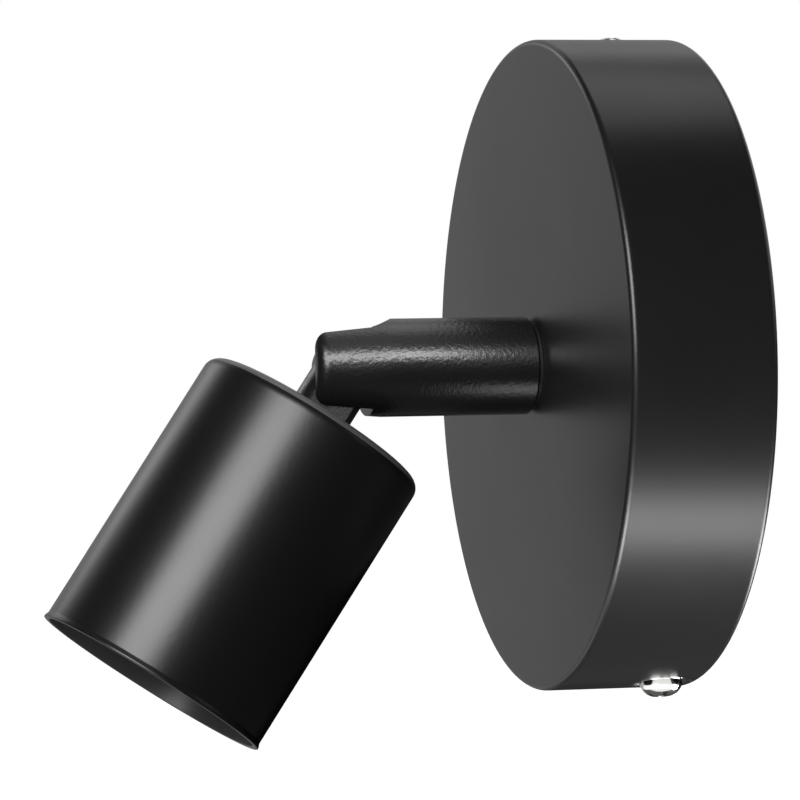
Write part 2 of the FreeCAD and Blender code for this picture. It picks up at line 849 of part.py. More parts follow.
def make_arm():
    """Built from its base at z = 0: a barrel with a tapered nose. Past the
    run-out only the cheek is left, with a chin below the knuckle."""
    length = "(arm_length - face_washer_thickness)"
    barrel = turned("arm_barrel", [
        ("thread_diameter / 2 + thread_clearance", "0"),
        ("arm_diameter / 2 - arm_base_chamfer", "0"),
        ("arm_diameter / 2", "arm_base_chamfer"),
        ("arm_diameter / 2", "arm_length - taper_length - face_washer_thickness"),
        ("nose_diameter / 2", length),
        ("0", length),
        ("0", "arm_length - pivot_setback - face_washer_thickness"),
        ("arm_bore / 2", "arm_length - pivot_setback - face_washer_thickness"),
        ("arm_bore / 2", "nipple_grip"),
        ("thread_diameter / 2 + thread_clearance", "nipple_grip"),
    ], [(4, "arm_nose_radius")])
    margin = size("cut_margin")
    far_x = -arm_radius - margin
    corner_x = cheek_face - size("runout_radius")
    above_chin = "arm_diameter / 2 + chin_level + cut_margin"
    clearing = block(
        "arm_clearing", "arm_diameter - cheek_thickness - runout_radius + cut_margin", above_chin,
        "pivot_setback + runout_setback + cut_margin",
        place(far_x, -size("chin_level"), runout_start))
    cheek_cut = block(
        "arm_cheek_cut", "arm_diameter - cheek_thickness + cut_margin", above_chin,
        "pivot_setback + runout_setback - runout_radius + cut_margin",
        place(far_x, -size("chin_level"), runout_start + size("runout_radius")))
    runout = rod(
        "arm_runout", "2 * runout_radius", above_chin,
        place(corner_x, -size("chin_level"), runout_start + size("runout_radius"), along_y))
    chin_cut = block(
        "arm_chin_cut", "arm_diameter - cheek_thickness + cut_margin", "arm_diameter + 2 * cut_margin",
        "pivot_setback + chin_setback + cut_margin",
        place(far_x, far_x, pivot_reach - size("chin_setback") - size("face_washer_thickness")))
    tapping = rod("cheek_tapping", "pivot_screw_diameter + 2 * thread_clearance",
                  "cheek_thickness - cheek_thread_margin + cut_margin", place(
                      cheek_face - margin, 0,
                      pivot_reach - size("face_washer_thickness"), along_x))
    finish(cut("arm_milled", barrel, [clearing, cheek_cut, runout, chin_cut, tapping]),
           "swivel_arm", arm_frame * place(z=arm_start))


def make_pivot_screw():
    far_seat = size("knuckle_far_side") + size("side_play") + size("pivot_spring_thickness")
    length = ("knuckle_far_side + side_play + pivot_spring_thickness + arm_diameter / 2"
              " - cheek_thread_margin - fitting_clearance")
    screw = headed_screw("pivot_bolt", "pivot_screw_diameter", length,
                         "pivot_head_diameter", "pivot_head_height", "pivot_head_rounding")
    socket = hexagon("pivot_socket", "pivot_hex_width", "pivot_hex_depth + cut_margin",
                     place(z=size("pivot_head_height") - size("pivot_hex_depth")))
    turn = Rotation(y_axis, -90)
    finish(cut("pivot_bolt_broached", screw, [socket]), "pivot_screw",
           arm_frame * place(-far_seat, 0, pivot_height, turn))


def make_pivot_washers():
    hole = "pivot_screw_diameter + 2 * fitting_clearance"
    near = washer("near_ring", "pivot_washer_diameter", hole, "pivot_washer_thickness", 0)
    near_x = cheek_face - size("pivot_washer_thickness")
    finish(near, "pivot_friction_washer", arm_frame * place(near_x, 0, pivot_height, along_x))
    far = washer("far_ring", "pivot_spring_diameter", hole, "pivot_spring_thickness", 0)
    far_x = -size("knuckle_far_side") - size("side_play") - size("pivot_spring_thickness")
    finish(far, "pivot_spring_washer", arm_frame * place(far_x, 0, pivot_height, along_x))


# ---------------------------------------------------------------- knuckle stem

def make_knuckle():
    near_side = "(arm_diameter / 2 - cheek_thickness - pivot_washer_thickness - side_play)"
    near_x = cheek_face - size("pivot_washer_thickness") - size("side_play")
    far_x = -size("knuckle_far_side")
    margin = size("cut_margin")
    radius = size("knuckle_diameter") / 2
    shank = rod("knuckle_shank", "knuckle_diameter", "cup_start")
    eye = rod("knuckle_eye", "knuckle_diameter", f"{near_side} + knuckle_far_side",
              place(far_x, 0, 0, along_x))
    tail = rod("knuckle_tail", "thread_diameter", "cup_start + stem_tail_length")
    blank = joined("knuckle_blank", [shank, eye, tail])
    near_flat = block("knuckle_near_flat", "knuckle_diameter", "knuckle_diameter + 2 * cut_margin",
                      "cup_start + knuckle_diameter",
                      place(near_x, -radius - margin, -size("knuckle_diameter")))
    far_flat = block("knuckle_far_flat", "knuckle_diameter", "knuckle_diameter + 2 * cut_margin",
                     "knuckle_diameter / 2 + knuckle_diameter + cut_margin", place(
                         far_x - size("knuckle_diameter"), -radius - margin,
                         -size("knuckle_diameter")))
    bore = rod("knuckle_bore", "stem_bore", "cup_start + stem_tail_length + cut_margin")
    slot_x = -size("knuckle_slot_width") / 2
    rear_slot = block("knuckle_rear_slot", "knuckle_slot_width",
                      "knuckle_diameter / 2 + cut_margin",
                      "knuckle_diameter / 2 + knuckle_slot_depth + cut_margin",
                      place(slot_x, -radius - margin, -radius - margin))
    front_slot = block("knuckle_front_slot", "knuckle_slot_width",
                       "knuckle_diameter + 2 * cut_margin",
                       "knuckle_diameter / 2 + knuckle_slot_rise + cut_margin",
                       place(slot_x, -radius - margin, -radius - margin))
    pin_hole = rod("knuckle_pin_hole", "pivot_screw_diameter + 2 * running_clearance",
                   "knuckle_diameter + 2 * cut_margin", place(-radius - margin, 0, 0, along_x))
    finish(cut("knuckle_milled", blank, [near_flat, far_flat, bore, rear_slot, front_slot,
                                  pin_hole]),
           "knuckle_stem", head_frame)


# ---------------------------------------------------------------- lamp cup

cup_floor = size("cup_start") + size("cup_steel")
cup_nut_start = cup_floor + size("cup_washer_thickness")
holder_start = cup_nut_start + size("nut_thickness")


def make_cup():
    """A spun cup: closed top with a hole for the stem, turned-out lip."""
    hole = "thread_diameter / 2 + fitting_clearance"
    cup = turned("cup_shell", [
        (hole, "0"),
        ("cup_diameter / 2", "0"),
        ("cup_diameter / 2", "cup_length - cup_steel"),
        ("cup_diameter / 2 + cup_lip_width", "cup_length - cup_steel"),
        ("cup_diameter / 2 + cup_lip_width", "cup_length"),
        ("cup_diameter / 2 - cup_steel", "cup_length"),
        ("cup_diameter / 2 - cup_steel", "cup_steel"),
        (hole, "cup_steel"),
    ], [
        (1, "cup_shoulder_radius"),
        (6, "cup_shoulder_radius - cup_steel"),
    ])
    finish(cup, "lamp_cup", head_frame * place(z=size("cup_start")))


def make_cup_washer():
    ring = washer("cup_ring", "cup_washer_diameter", "thread_diameter + 2 * fitting_clearance",
                  "cup_washer_thickness", 0)
    finish(ring, "cup_lock_washer", head_frame * place(z=cup_floor))


def make_cup_nut():
    finish(hex_nut("cup_hexagon_nut"), "stem_nut", head_frame * place(z=cup_nut_start))


# ---------------------------------------------------------------- lampholder

cap_end = (holder_start + size("holder_neck_length") + size("holder_cone_length")
           + size("holder_cap_length"))
contact_base_start = cap_end - size("contact_base_thickness")
stem_end = size("cup_start") + size("stem_tail_length")
holder_radius = "(cup_diameter / 2 - cup_steel - holder_gap)"


def make_holder_cap():
    """The rear half of the holder: threaded neck, cone and a short skirt."""
    neck_inner = "thread_diameter / 2 + thread_clearance"
    outer = f"{holder_radius}"
    inner = f"({holder_radius} - holder_wall)"
    shoulder = "(holder_neck_length + holder_cone_length)"
    cap = turned("cap_body", [
        (neck_inner, "0"),
        ("holder_neck_diameter / 2", "0"),
        ("holder_neck_diameter / 2", "holder_neck_length - holder_wall"),
        (outer, shoulder),
        (outer, f"{shoulder} + holder_cap_length"),
        (inner, f"{shoulder} + holder_cap_length"),
        (inner, f"{shoulder} + holder_wall / 2"),
        ("holder_neck_diameter / 2", "holder_neck_length"),
        (neck_inner, "holder_neck_length"),
    ], [(3, "holder_shoulder_rounding")])
    finish(cap, "holder_cap", head_frame * place(z=holder_start))


def make_holder_skirt():
    """The front half: screws on to the cap and carries the shell."""
    outer = f"{holder_radius}"
    rim = "shell_bore / 2 + shell_wall + fitting_clearance"
    skirt = turned("skirt_body", [
        (rim, "0"),
        (outer, "0"),
        (outer, skirt_length),
        (rim, skirt_length),
    ], [(2, "holder_rim_rounding")])
    finish(skirt, "holder_skirt", head_frame * place(z=cap_end))


skirt_length = ("(cup_length - cup_steel - cup_washer_thickness - nut_thickness"
                " - holder_rim_setback - holder_neck_length - holder_cone_length"
                " - holder_cap_length)")


def make_contact_base():
    """The insulating disc that carries the contacts, the centre one in a
    pocket."""
    disc = rod("base_disc", f"2 * ({holder_radius} - holder_wall - fitting_clearance)",
               "contact_base_thickness")
    margin = size("cut_margin")
    pocket_place = place(
        -size("contact_length") / 2 - size("fitting_clearance"),
        -size("contact_width") / 2 - size("fitting_clearance"),
        size("contact_base_thickness") - size("contact_pocket_depth"))
    tools = [block(
        "base_pocket", "contact_length + 2 * fitting_clearance",
        "contact_width + 2 * fitting_clearance", "contact_pocket_depth + cut_margin", pocket_place)]
    for number, side in enumerate((-1, 1)):
        x = side * size("holder_screw_spacing") / 2
        tools.append(rod(
            f"base_tapping_{number}", "holder_screw_diameter + 2 * thread_clearance",
            "contact_base_thickness + 2 * cut_margin", place(x, 0, -margin)))
        entry_x = side * size("terminal_entry_spacing") / 2
        tools.append(rod(
            f"base_entry_{number}", "lead_diameter + 2 * fitting_clearance",
            "terminal_entry_depth + cut_margin", place(entry_x, 0, -margin)))
    finish(cut("base_drilled", disc, tools), "contact_base",
           head_frame * place(z=contact_base_start))


def make_holder_screws():
    screws = []
    for number, side in enumerate((-1, 1)):
        screw = headed_screw(
            f"holder_fixing_{number}", "holder_screw_diameter", "holder_screw_length",
            "holder_screw_head", "holder_screw_head_height", "holder_screw_head_rounding")
        turn = Rotation(x_axis, 180)
        screw.Placement = place(side * size("holder_screw_spacing") / 2, 0, 0, turn)
        screws.append(screw)
    finish(group("holder_fixings", screws), "holder_terminal_screws",
           head_frame * place(z=contact_base_start))


def make_shell():
    """The lamp screws into this sleeve: a plain bore at the thread's crest."""
    shell = turned("shell_sleeve", [
        ("shell_bore / 2", "0"),
        ("shell_bore / 2 + shell_wall", "0"),
        ("shell_bore / 2 + shell_wall", "shell_length"),
        ("shell_bore / 2", "shell_length"),
    ])
    finish(shell, "screw_shell", head_frame * place(z=cap_end + size("shell_gap")))


def make_centre_contact():
    body = document.addObject("PartDesign::Body", "contact_strip")
    sketch = polygon_sketch(body, "contact_outline", "XZ_Plane", [
        ("-contact_length / 2", "0"),
        ("0", "0"),
        ("contact_length / 2", "contact_rise"),
        ("contact_length / 2", "contact_rise + contact_thickness"),
        ("0", "contact_thickness"),
        ("-contact_length / 2", "contact_thickness"),
    ])
    pad = body.newObject("PartDesign::Pad", "contact_pad")
    pad.Profile = sketch
    pad.SideType = "Symmetric"
    bind(pad, "Length", "contact_width")
    sketch.Visibility = False
    finish(body, "centre_contact", head_frame * place(z=cap_end - size("contact_pocket_depth")))


# ---------------------------------------------------------------- assembly

makers = (
    make_canopy, make_canopy_screws, make_stop_stud, make_bracket,
    make_terminal_block, make_terminal_barrels, make_clamp_screws, make_block_screw,
    make_earth_tag, make_earth_screw, make_base_leads, make_arm_leads, make_head_leads,
    make_nipple, make_face_washer, make_slide_washer, make_stop_washer,
    make_spring_washer, make_nipple_nut, make_bush, make_arm, make_pivot_screw,
    make_pivot_washers, make_knuckle, make_cup, make_cup_washer, make_cup_nut,
    make_holder_cap, make_holder_skirt, make_contact_base, make_holder_screws,
    make_shell, make_centre_contact,
)
for make in makers:
    make()
document.recompute()

for item in document.Objects:
    if "Invalid" in item.State or "Error" in item.State:
        raise RuntimeError(f"{item.Label} failed: {item.State}")
for item in subparts:
    if item.Shape.isNull() or not item.Shape.isValid():
        raise RuntimeError(f"{item.Label} has no valid shape")

os.makedirs("parts", exist_ok=True)
for item in subparts:
    item.Shape.exportStep(f"parts/{item.Label}.step")
print(len(subparts), "sub-parts written")
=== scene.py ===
import json
import math

import bmesh
import bpy
from mathutils import Matrix, Vector

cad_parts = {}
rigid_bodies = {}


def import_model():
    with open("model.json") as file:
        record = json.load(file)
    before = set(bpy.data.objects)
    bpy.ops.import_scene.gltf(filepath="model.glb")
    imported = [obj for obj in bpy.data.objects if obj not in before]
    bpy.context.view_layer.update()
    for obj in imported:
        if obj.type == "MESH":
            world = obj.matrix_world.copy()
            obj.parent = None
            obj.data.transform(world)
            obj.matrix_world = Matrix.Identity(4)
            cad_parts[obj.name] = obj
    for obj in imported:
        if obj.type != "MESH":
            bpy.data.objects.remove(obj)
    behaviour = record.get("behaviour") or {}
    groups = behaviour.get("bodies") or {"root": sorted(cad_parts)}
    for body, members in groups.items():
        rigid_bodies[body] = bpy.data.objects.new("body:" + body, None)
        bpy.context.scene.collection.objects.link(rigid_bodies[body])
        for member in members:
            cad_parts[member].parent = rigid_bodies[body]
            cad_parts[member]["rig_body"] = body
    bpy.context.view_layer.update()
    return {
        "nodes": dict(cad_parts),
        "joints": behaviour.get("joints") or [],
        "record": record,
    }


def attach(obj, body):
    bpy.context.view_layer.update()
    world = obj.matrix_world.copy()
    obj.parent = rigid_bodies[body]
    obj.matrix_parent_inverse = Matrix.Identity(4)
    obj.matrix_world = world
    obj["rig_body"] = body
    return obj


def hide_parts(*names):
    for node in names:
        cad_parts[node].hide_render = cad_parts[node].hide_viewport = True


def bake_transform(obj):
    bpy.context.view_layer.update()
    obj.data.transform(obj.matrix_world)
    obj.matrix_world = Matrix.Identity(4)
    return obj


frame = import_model()
nodes = frame["nodes"]
record = frame["record"]
scene = bpy.context.scene
print("frame loaded:", len(nodes), "nodes")

mm = 0.001
mounts = {mount["name"]: mount for mount in record["mounts"]}
tiltJoint = next(joint for joint in frame["joints"] if joint["name"] == "head_tilt")
pivot = Vector(tiltJoint["pos_m"])
armAcross = -Vector(tiltJoint["axis"])
headAxis = Vector(mounts["lamp_socket"]["axis"])
bracketUp = Vector(mounts["live_terminal"]["axis"])
roomward = Vector((0, -1, 0))


def frameMatrix(across, along, origin):
    # a place whose z runs along and whose x runs across
    up = along.cross(across)
    return Matrix.Translation(origin) @ Matrix((across, up, along)).transposed().to_4x4()


armPlace = frameMatrix(armAcross, roomward, Vector())
headPlace = frameMatrix(armAcross, headAxis, pivot)
bracketPlace = frameMatrix(bracketUp.cross(roomward), roomward, Vector())


def onAxis(place, distance):
    # the place moved along its own z
    return place @ Matrix.Translation((0, 0, distance * mm))


def addObject(name, data):
    item = bpy.data.objects.new(name, data)
    scene.collection.objects.link(item)
    return item


# the camera stands where the photo was taken from
photoCamera = {
    "azimuth": 74.292,  # degrees, from looking along +Y
    "elevation": 3.579,
    "distance": 950 * mm,
    "aimAcross": -50.15 * mm,  # where the lens axis passes the origin
    "aimUp": -6.83 * mm,
    "focalPixels": 5107.2,
    "framePixels": 800,
    "sensor": 36,  # millimetres
    "near": 0.05,
    "far": 50,
}


def makeCamera(given):
    turn = math.radians(given["azimuth"])
    rise = math.radians(given["elevation"])
    back = Vector((math.sin(turn) * math.cos(rise), -math.cos(turn) * math.cos(rise), math.sin(rise)))
    right = Vector((math.cos(turn), math.sin(turn), 0))
    up = back.cross(right)
    data = bpy.data.cameras.new("photoCamera")
    data.sensor_width = given["sensor"]
    data.lens = given["focalPixels"] / given["framePixels"] * given["sensor"]
    data.clip_start = given["near"]
    data.clip_end = given["far"]
    camera = addObject("photoCamera", data)
    spot = right * given["aimAcross"] + up * given["aimUp"] + back * given["distance"]
    camera.matrix_world = Matrix.Translation(spot) @ Matrix((right, up, back)).transposed().to_4x4()
    scene.camera = camera


makeCamera(photoCamera)
print("camera placed")


# paints, metals and plastics, patterned in each piece's own metres
def addNode(tree, kind, **settings):
    node = tree.nodes.new(kind)
    for key, value in settings.items():
        setattr(node, key, value)
    return node


def link(tree, source, node, socket):
    tree.links.new(source, node.inputs[socket])


def newMaterial(name, colour, metallic, roughness):
    material = bpy.data.materials.new(name)
    material.use_nodes = True
    shader = material.node_tree.nodes["Principled BSDF"]
    shader.inputs["Base Color"].default_value = (*colour, 1)
    shader.inputs["Metallic"].default_value = metallic
    shader.inputs["Roughness"].default_value = roughness
    return material, material.node_tree, shader


def noise(tree, scale, detail=2):
    # the scale is in features for each metre
    place = addNode(tree, "ShaderNodeTexCoord")
    texture = addNode(tree, "ShaderNodeTexNoise")
    texture.inputs["Scale"].default_value = scale
    texture.inputs["Detail"].default_value = detail
    link(tree, place.outputs["Object"], texture, "Vector")
    return texture.outputs["Fac"]


def spread(tree, source, low, high, fromLow=0.3, fromHigh=0.7):
    # most of the noise lies between 0.3 and 0.7
    ranged = addNode(tree, "ShaderNodeMapRange")
    ranged.inputs["From Min"].default_value = fromLow
    ranged.inputs["From Max"].default_value = fromHigh
    ranged.inputs["To Min"].default_value = low
    ranged.inputs["To Max"].default_value = high
    link(tree, source, ranged, "Value")
    return ranged.outputs["Result"]


def bump(tree, shader, source, height, under=None):
    lift = addNode(tree, "ShaderNodeBump")
    lift.inputs["Strength"].default_value = 1
    lift.inputs["Distance"].default_value = height
    link(tree, source, lift, "Height")
    if under is not None:
        link(tree, under, lift, "Normal")
    link(tree, lift.outputs["Normal"], shader, "Normal")
    return lift.outputs["Normal"]


def recolour(material, colour, measure, limit):
    # the other colour wherever the measure is under the limit
    tree = material.node_tree
    shader = tree.nodes["Principled BSDF"]
    within = addNode(tree, "ShaderNodeMath", operation="LESS_THAN")
    within.inputs[1].default_value = limit
    mixed = addNode(tree, "ShaderNodeMix", data_type="RGBA")
    mixed.inputs[6].default_value = shader.inputs["Base Color"].default_value
    mixed.inputs[7].default_value = (*colour, 1)
    link(tree, measure, within, 0)
    link(tree, within.outputs[0], mixed, 0)
    link(tree, mixed.outputs[2], shader, "Base Color")


paintSettings = {
    "colour": (0.005, 0.005, 0.0053),
    "roughness": (0.32, 0.34),
    "cloudScale": 60,  # all scales are in features for each metre
    "peelScale": 900,  # orange peel
    "peelHeight": 0.012 * mm,
    "gritScale": 4200,
    "gritDetail": 4,
    "gritHeight": 0.003 * mm,
}


def makePaint(name, given):
    low, high = given["roughness"]
    material, tree, shader = newMaterial(name, given["colour"], 0, low)
    link(tree, spread(tree, noise(tree, given["cloudScale"]), low, high), shader, "Roughness")
    peel = bump(tree, shader, noise(tree, given["peelScale"]), given["peelHeight"])
    grit = noise(tree, given["gritScale"], given["gritDetail"])
    bump(tree, shader, grit, given["gritHeight"], under=peel)
    return material


metalGrain = {
    "metallic": 1, "cloudScale": 900, "cloudDetail": 4,
    "grainScale": 2700, "grainDetail": 3, "grainHeight": 0.001 * mm,
}
plasticGrain = {
    "metallic": 0, "cloudScale": 187.5, "cloudDetail": 2,
    "grainScale": 1500, "grainDetail": 3, "grainHeight": 0.01 * mm,
}


def makeFinish(name, grain, colour, low, high):
    material, tree, shader = newMaterial(name, colour, grain["metallic"], low)
    clouds = noise(tree, grain["cloudScale"], grain["cloudDetail"])
    link(tree, spread(tree, clouds, low, high), shader, "Roughness")
    bump(tree, shader, noise(tree, grain["grainScale"], grain["grainDetail"]), grain["grainHeight"])
    return material


# each slot's finish: its name, its grain, its colour and its range of roughness
finishes = {
    "nickel": ("brightNickel", metalGrain, (0.83, 0.82, 0.79), 0.08, 0.2),
    "zinc_steel": ("zincPlate", metalGrain, (0.62, 0.64, 0.66), 0.25, 0.42),
    "spring_steel": ("springSteel", metalGrain, (0.34, 0.34, 0.35), 0.28, 0.45),
    "brass": ("brass", metalGrain, (0.78, 0.58, 0.28), 0.2, 0.35),
    "tinned_brass": ("tinnedBrass", metalGrain, (0.72, 0.71, 0.68), 0.22, 0.38),
    "shell_nickel": ("shellNickel", metalGrain, (0.75, 0.74, 0.7), 0.18, 0.32),
    "black_steel": ("blackOxide", metalGrain, (0.035, 0.035, 0.037), 0.3, 0.45),
    "white_nylon": ("whiteNylon", plasticGrain, (0.8, 0.79, 0.74), 0.4, 0.55),
    "black_nylon": ("blackNylon", plasticGrain, (0.008, 0.008, 0.008), 0.5, 0.62),
    "holder_plastic": ("holderThermoset", plasticGrain, (0.022, 0.022, 0.023), 0.3, 0.45),
    "holder_ceramic": ("steatite", plasticGrain, (0.82, 0.8, 0.75), 0.5, 0.7),
    "live_insulation": ("brownInsulation", plasticGrain, (0.13, 0.05, 0.02), 0.3, 0.42),
    "neutral_insulation": ("blueInsulation", plasticGrain, (0.03, 0.12, 0.42), 0.3, 0.42),
    "earth_insulation": ("greenInsulation", plasticGrain, (0.05, 0.3, 0.06), 0.3, 0.42),
}
stripeSettings = {"colour": (0.62, 0.5, 0.02), "halfWidth": 0.42 * mm}


def addStripe(material, given):
    # yellow along the front and back of the lead, which lies on the bracket's middle plane
    tree = material.node_tree
    place = addNode(tree, "ShaderNodeTexCoord")
    offset = addNode(tree, "ShaderNodeVectorMath", operation="DOT_PRODUCT")
    offset.inputs[1].default_value = bracketUp.cross(roomward)
    away = addNode(tree, "ShaderNodeMath", operation="ABSOLUTE")
    link(tree, place.outputs["Object"], offset, 0)
    link(tree, offset.outputs["Value"], away, 0)
    recolour(material, given["colour"], away.outputs[0], given["halfWidth"])


slotMaterials = {slot: makeFinish(*finish) for slot, finish in finishes.items()}
slotMaterials["black_paint"] = makePaint("satinBlackPaint", paintSettings)
slotMaterials["black_paint_fine"] = makePaint("fineBlackPaint", dict(
    paintSettings, roughness=(0.24, 0.3), peelScale=1500, peelHeight=0.065 * mm))
addStripe(slotMaterials["earth_insulation"], stripeSettings)
slotOf = {part["node"]: part["material_slot"] for part in record["subparts"]}
bodyOf = {name: node["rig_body"] for name, node in nodes.items()}


def finishOf(node):
    return slotMaterials[slotOf[node]]


for name, node in nodes.items():
    node.data.materials.clear()
    node.data.materials.append(finishOf(name))
print("materials given to", len(nodes), "nodes")


# how pieces are made
smoothAngle = math.radians(38)  # edges sharper than this stay sharp
bevelAngle = math.radians(40)  # and those sharper than this are broken
flatAngle = math.radians(0.8)  # faces flatter to each other than this become one
weldDistance = 0.002 * mm
railRadius = 10 * mm  # any circle will do, because the outline is moved back by as much


def roundedOutline(corners, steps):
    # corners are (radius, height, rounding) in millimetres, in order round the section
    points = []
    count = len(corners)
    for index, (across, up, rounding) in enumerate(corners):
        corner = Vector((across, up))
        if not rounding:
            points.append(corner * mm)
            continue
        runIn = (Vector(corners[index - 1][:2]) - corner).normalized()
        runOut = (Vector(corners[(index + 1) % count][:2]) - corner).normalized()
        half = runIn.angle(runOut) / 2
        centre = corner + (runIn + runOut).normalized() * rounding / math.sin(half)
        first = corner + runIn * rounding / math.tan(half) - centre
        last = corner + runOut * rounding / math.tan(half) - centre
        turn = math.atan2(first.x * last.y - first.y * last.x, first.dot(last))
        for step in range(steps + 1):
            arm = Matrix.Rotation(turn * step / steps, 2) @ first
            points.append((centre + arm) * mm)
    return points


def shaded(mesh):
    # shades round surfaces smooth and keeps real edges
    mesh.polygons.foreach_set("use_smooth", [True] * len(mesh.polygons))
    mesh.set_sharp_from_angle(angle=smoothAngle)
    return mesh


def smoothed(mesh):
    # welds the mesh and points its faces outwards too
    build = bmesh.new()
    build.from_mesh(mesh)
    bmesh.ops.remove_doubles(build, verts=build.verts, dist=weldDistance)
    bmesh.ops.recalc_face_normals(build, faces=build.faces)
    build.to_mesh(mesh)
    build.free()
    return shaded(mesh)


def newTree(name, sockets):
    tree = bpy.data.node_groups.new(name, "GeometryNodeTree")
    tree.interface.new_socket("Piece", in_out="OUTPUT", socket_type="NodeSocketGeometry")
    tree.interface.new_socket("Shape", in_out="INPUT", socket_type="NodeSocketGeometry")
    for label, kind in sockets:
        tree.interface.new_socket(label, in_out="INPUT", socket_type=kind)
    tree.interface.new_socket("Finish", in_out="INPUT", socket_type="NodeSocketMaterial")
    return tree, addNode(tree, "NodeGroupInput")


def endTree(tree, given, shape):
    # every tree ends in plain geometry that wears its finish
    whole = addNode(tree, "GeometryNodeRealizeInstances")
    coated = addNode(tree, "GeometryNodeSetMaterial")
    link(tree, shape, whole, "Geometry")
    link(tree, whole.outputs[0], coated, "Geometry")
    link(tree, given.outputs["Finish"], coated, "Material")
    link(tree, coated.outputs[0], addNode(tree, "NodeGroupOutput"), "Piece")
    return tree


def makeTurnedTree():
    # sweeps an outline of radius and height once round the axis
    tree, given = newTree("turnedPiece", [("Rail Radius", "NodeSocketFloat"), ("Steps", "NodeSocketInt")])
    inward = addNode(tree, "ShaderNodeMath", operation="MULTIPLY")
    inward.inputs[1].default_value = -1
    offset = addNode(tree, "ShaderNodeCombineXYZ")
    moved = addNode(tree, "GeometryNodeTransform")
    outline = addNode(tree, "GeometryNodeMeshToCurve")
    rail = addNode(tree, "GeometryNodeCurvePrimitiveCircle")
    upright = addNode(tree, "GeometryNodeSetCurveNormal")
    upright.mode = "Z_UP"
    swept = addNode(tree, "GeometryNodeCurveToMesh")
    merged = addNode(tree, "GeometryNodeMergeByDistance")
    merged.inputs["Distance"].default_value = weldDistance
    link(tree, given.outputs["Rail Radius"], inward, 0)
    link(tree, inward.outputs[0], offset, "X")
    link(tree, offset.outputs[0], moved, "Translation")
    link(tree, given.outputs["Shape"], moved, "Geometry")
    link(tree, moved.outputs[0], outline, "Mesh")
    link(tree, given.outputs["Rail Radius"], rail, "Radius")
    link(tree, given.outputs["Steps"], rail, "Resolution")
    link(tree, rail.outputs["Curve"], upright, "Curve")
    link(tree, upright.outputs[0], swept, "Curve")
    link(tree, outline.outputs[0], swept, "Profile Curve")
    link(tree, swept.outputs[0], merged, "Geometry")
    return endTree(tree, given, merged.outputs[0])


def makeScatterTree():
    # sets one model on every point, turned as the point's "turn" says
    tree, given = newTree("repeatedPiece", [("Model", "NodeSocketObject")])
    model = addNode(tree, "GeometryNodeObjectInfo")
    turn = addNode(tree, "GeometryNodeInputNamedAttribute", data_type="FLOAT_VECTOR")
    turn.inputs["Name"].default_value = "turn"
    copies = addNode(tree, "GeometryNodeInstanceOnPoints")
    link(tree, given.outputs["Model"], model, "Object")
    link(tree, given.outputs["Shape"], copies, "Points")
    link(tree, model.outputs["Geometry"], copies, "Instance")
    link(tree, turn.outputs["Attribute"], copies, "Rotation")
    return endTree(tree, given, copies.outputs[0])


def makeWireTree():
    # a round wire along a line
    tree, given = newTree("wirePiece", [("Radius", "NodeSocketFloat"), ("Sides", "NodeSocketInt")])
    line = addNode(tree, "GeometryNodeMeshToCurve")
    section = addNode(tree, "GeometryNodeCurvePrimitiveCircle")
    swept = addNode(tree, "GeometryNodeCurveToMesh")
    swept.inputs["Fill Caps"].default_value = True
    link(tree, given.outputs["Shape"], line, "Mesh")
    link(tree, given.outputs["Radius"], section, "Radius")
    link(tree, given.outputs["Sides"], section, "Resolution")
    link(tree, line.outputs["Curve"], swept, "Curve")
    link(tree, section.outputs["Curve"], swept, "Profile Curve")
    return endTree(tree, given, swept.outputs[0])


turnedTree = makeTurnedTree()
scatterTree = makeScatterTree()
wireTree = makeWireTree()


def evaluated(name, holder):
    # the plain mesh that an object's modifier makes
    bpy.context.view_layer.update()
    graph = bpy.context.evaluated_depsgraph_get()
    result = bpy.data.meshes.new_from_object(holder.evaluated_get(graph))
    result.name = name
    bpy.data.objects.remove(holder)
    return result


def baked(name, mesh, tree, values):
    # runs a tree on a mesh and keeps the plain result
    holder = addObject(name + "_shape", mesh)
    modifier = holder.modifiers.new("nodes", "NODES")
    modifier.node_group = tree
    identifiers = {item.name: item.identifier for item in tree.interface.items_tree if item.in_out == "INPUT"}
    for label, value in values.items():
        modifier[identifiers[label]] = value
    return evaluated(name, holder)


def turnedMesh(name, corners, material, steps=128, roundSteps=6):
    points = roundedOutline(corners, roundSteps)
    outline = bpy.data.meshes.new(name + "_outline")
    edges = [(index, (index + 1) % len(points)) for index in range(len(points))]
    outline.from_pydata([(point.x, -point.y, 0) for point in points], edges, [])  # the sweep turns it over
    mesh = baked(name, outline, turnedTree, {"Rail Radius": railRadius, "Steps": steps, "Finish": material})
    return smoothed(mesh)


def gridMesh(name, rings, material):
    # rings of points, closed round the axis and round the section
    mesh = bpy.data.meshes.new(name)
    count = len(rings[0])
    faces = []
    for row in range(len(rings)):
        following = (row + 1) % len(rings)
        for column in range(count):
            beside = (column + 1) % count
            faces.append((row * count + column, row * count + beside,
                          following * count + beside, following * count + column))
    mesh.from_pydata([point for ring in rings for point in ring], [], faces)
    mesh.materials.append(material)
    return smoothed(mesh)


def repeated(name, model, spots, material):
    # spots are (place, turn) with the turn in radians about each axis
    points = bpy.data.meshes.new(name + "_points")
    points.from_pydata([spot for spot, turn in spots], [], [])
    turns = points.attributes.new("turn", "FLOAT_VECTOR", "POINT")
    turns.data.foreach_set("vector", [part for spot, turn in spots for part in turn])
    template = addObject(name + "_model", model)
    mesh = baked(name, points, scatterTree, {"Model": template, "Finish": material})
    bpy.data.objects.remove(template)
    return mesh


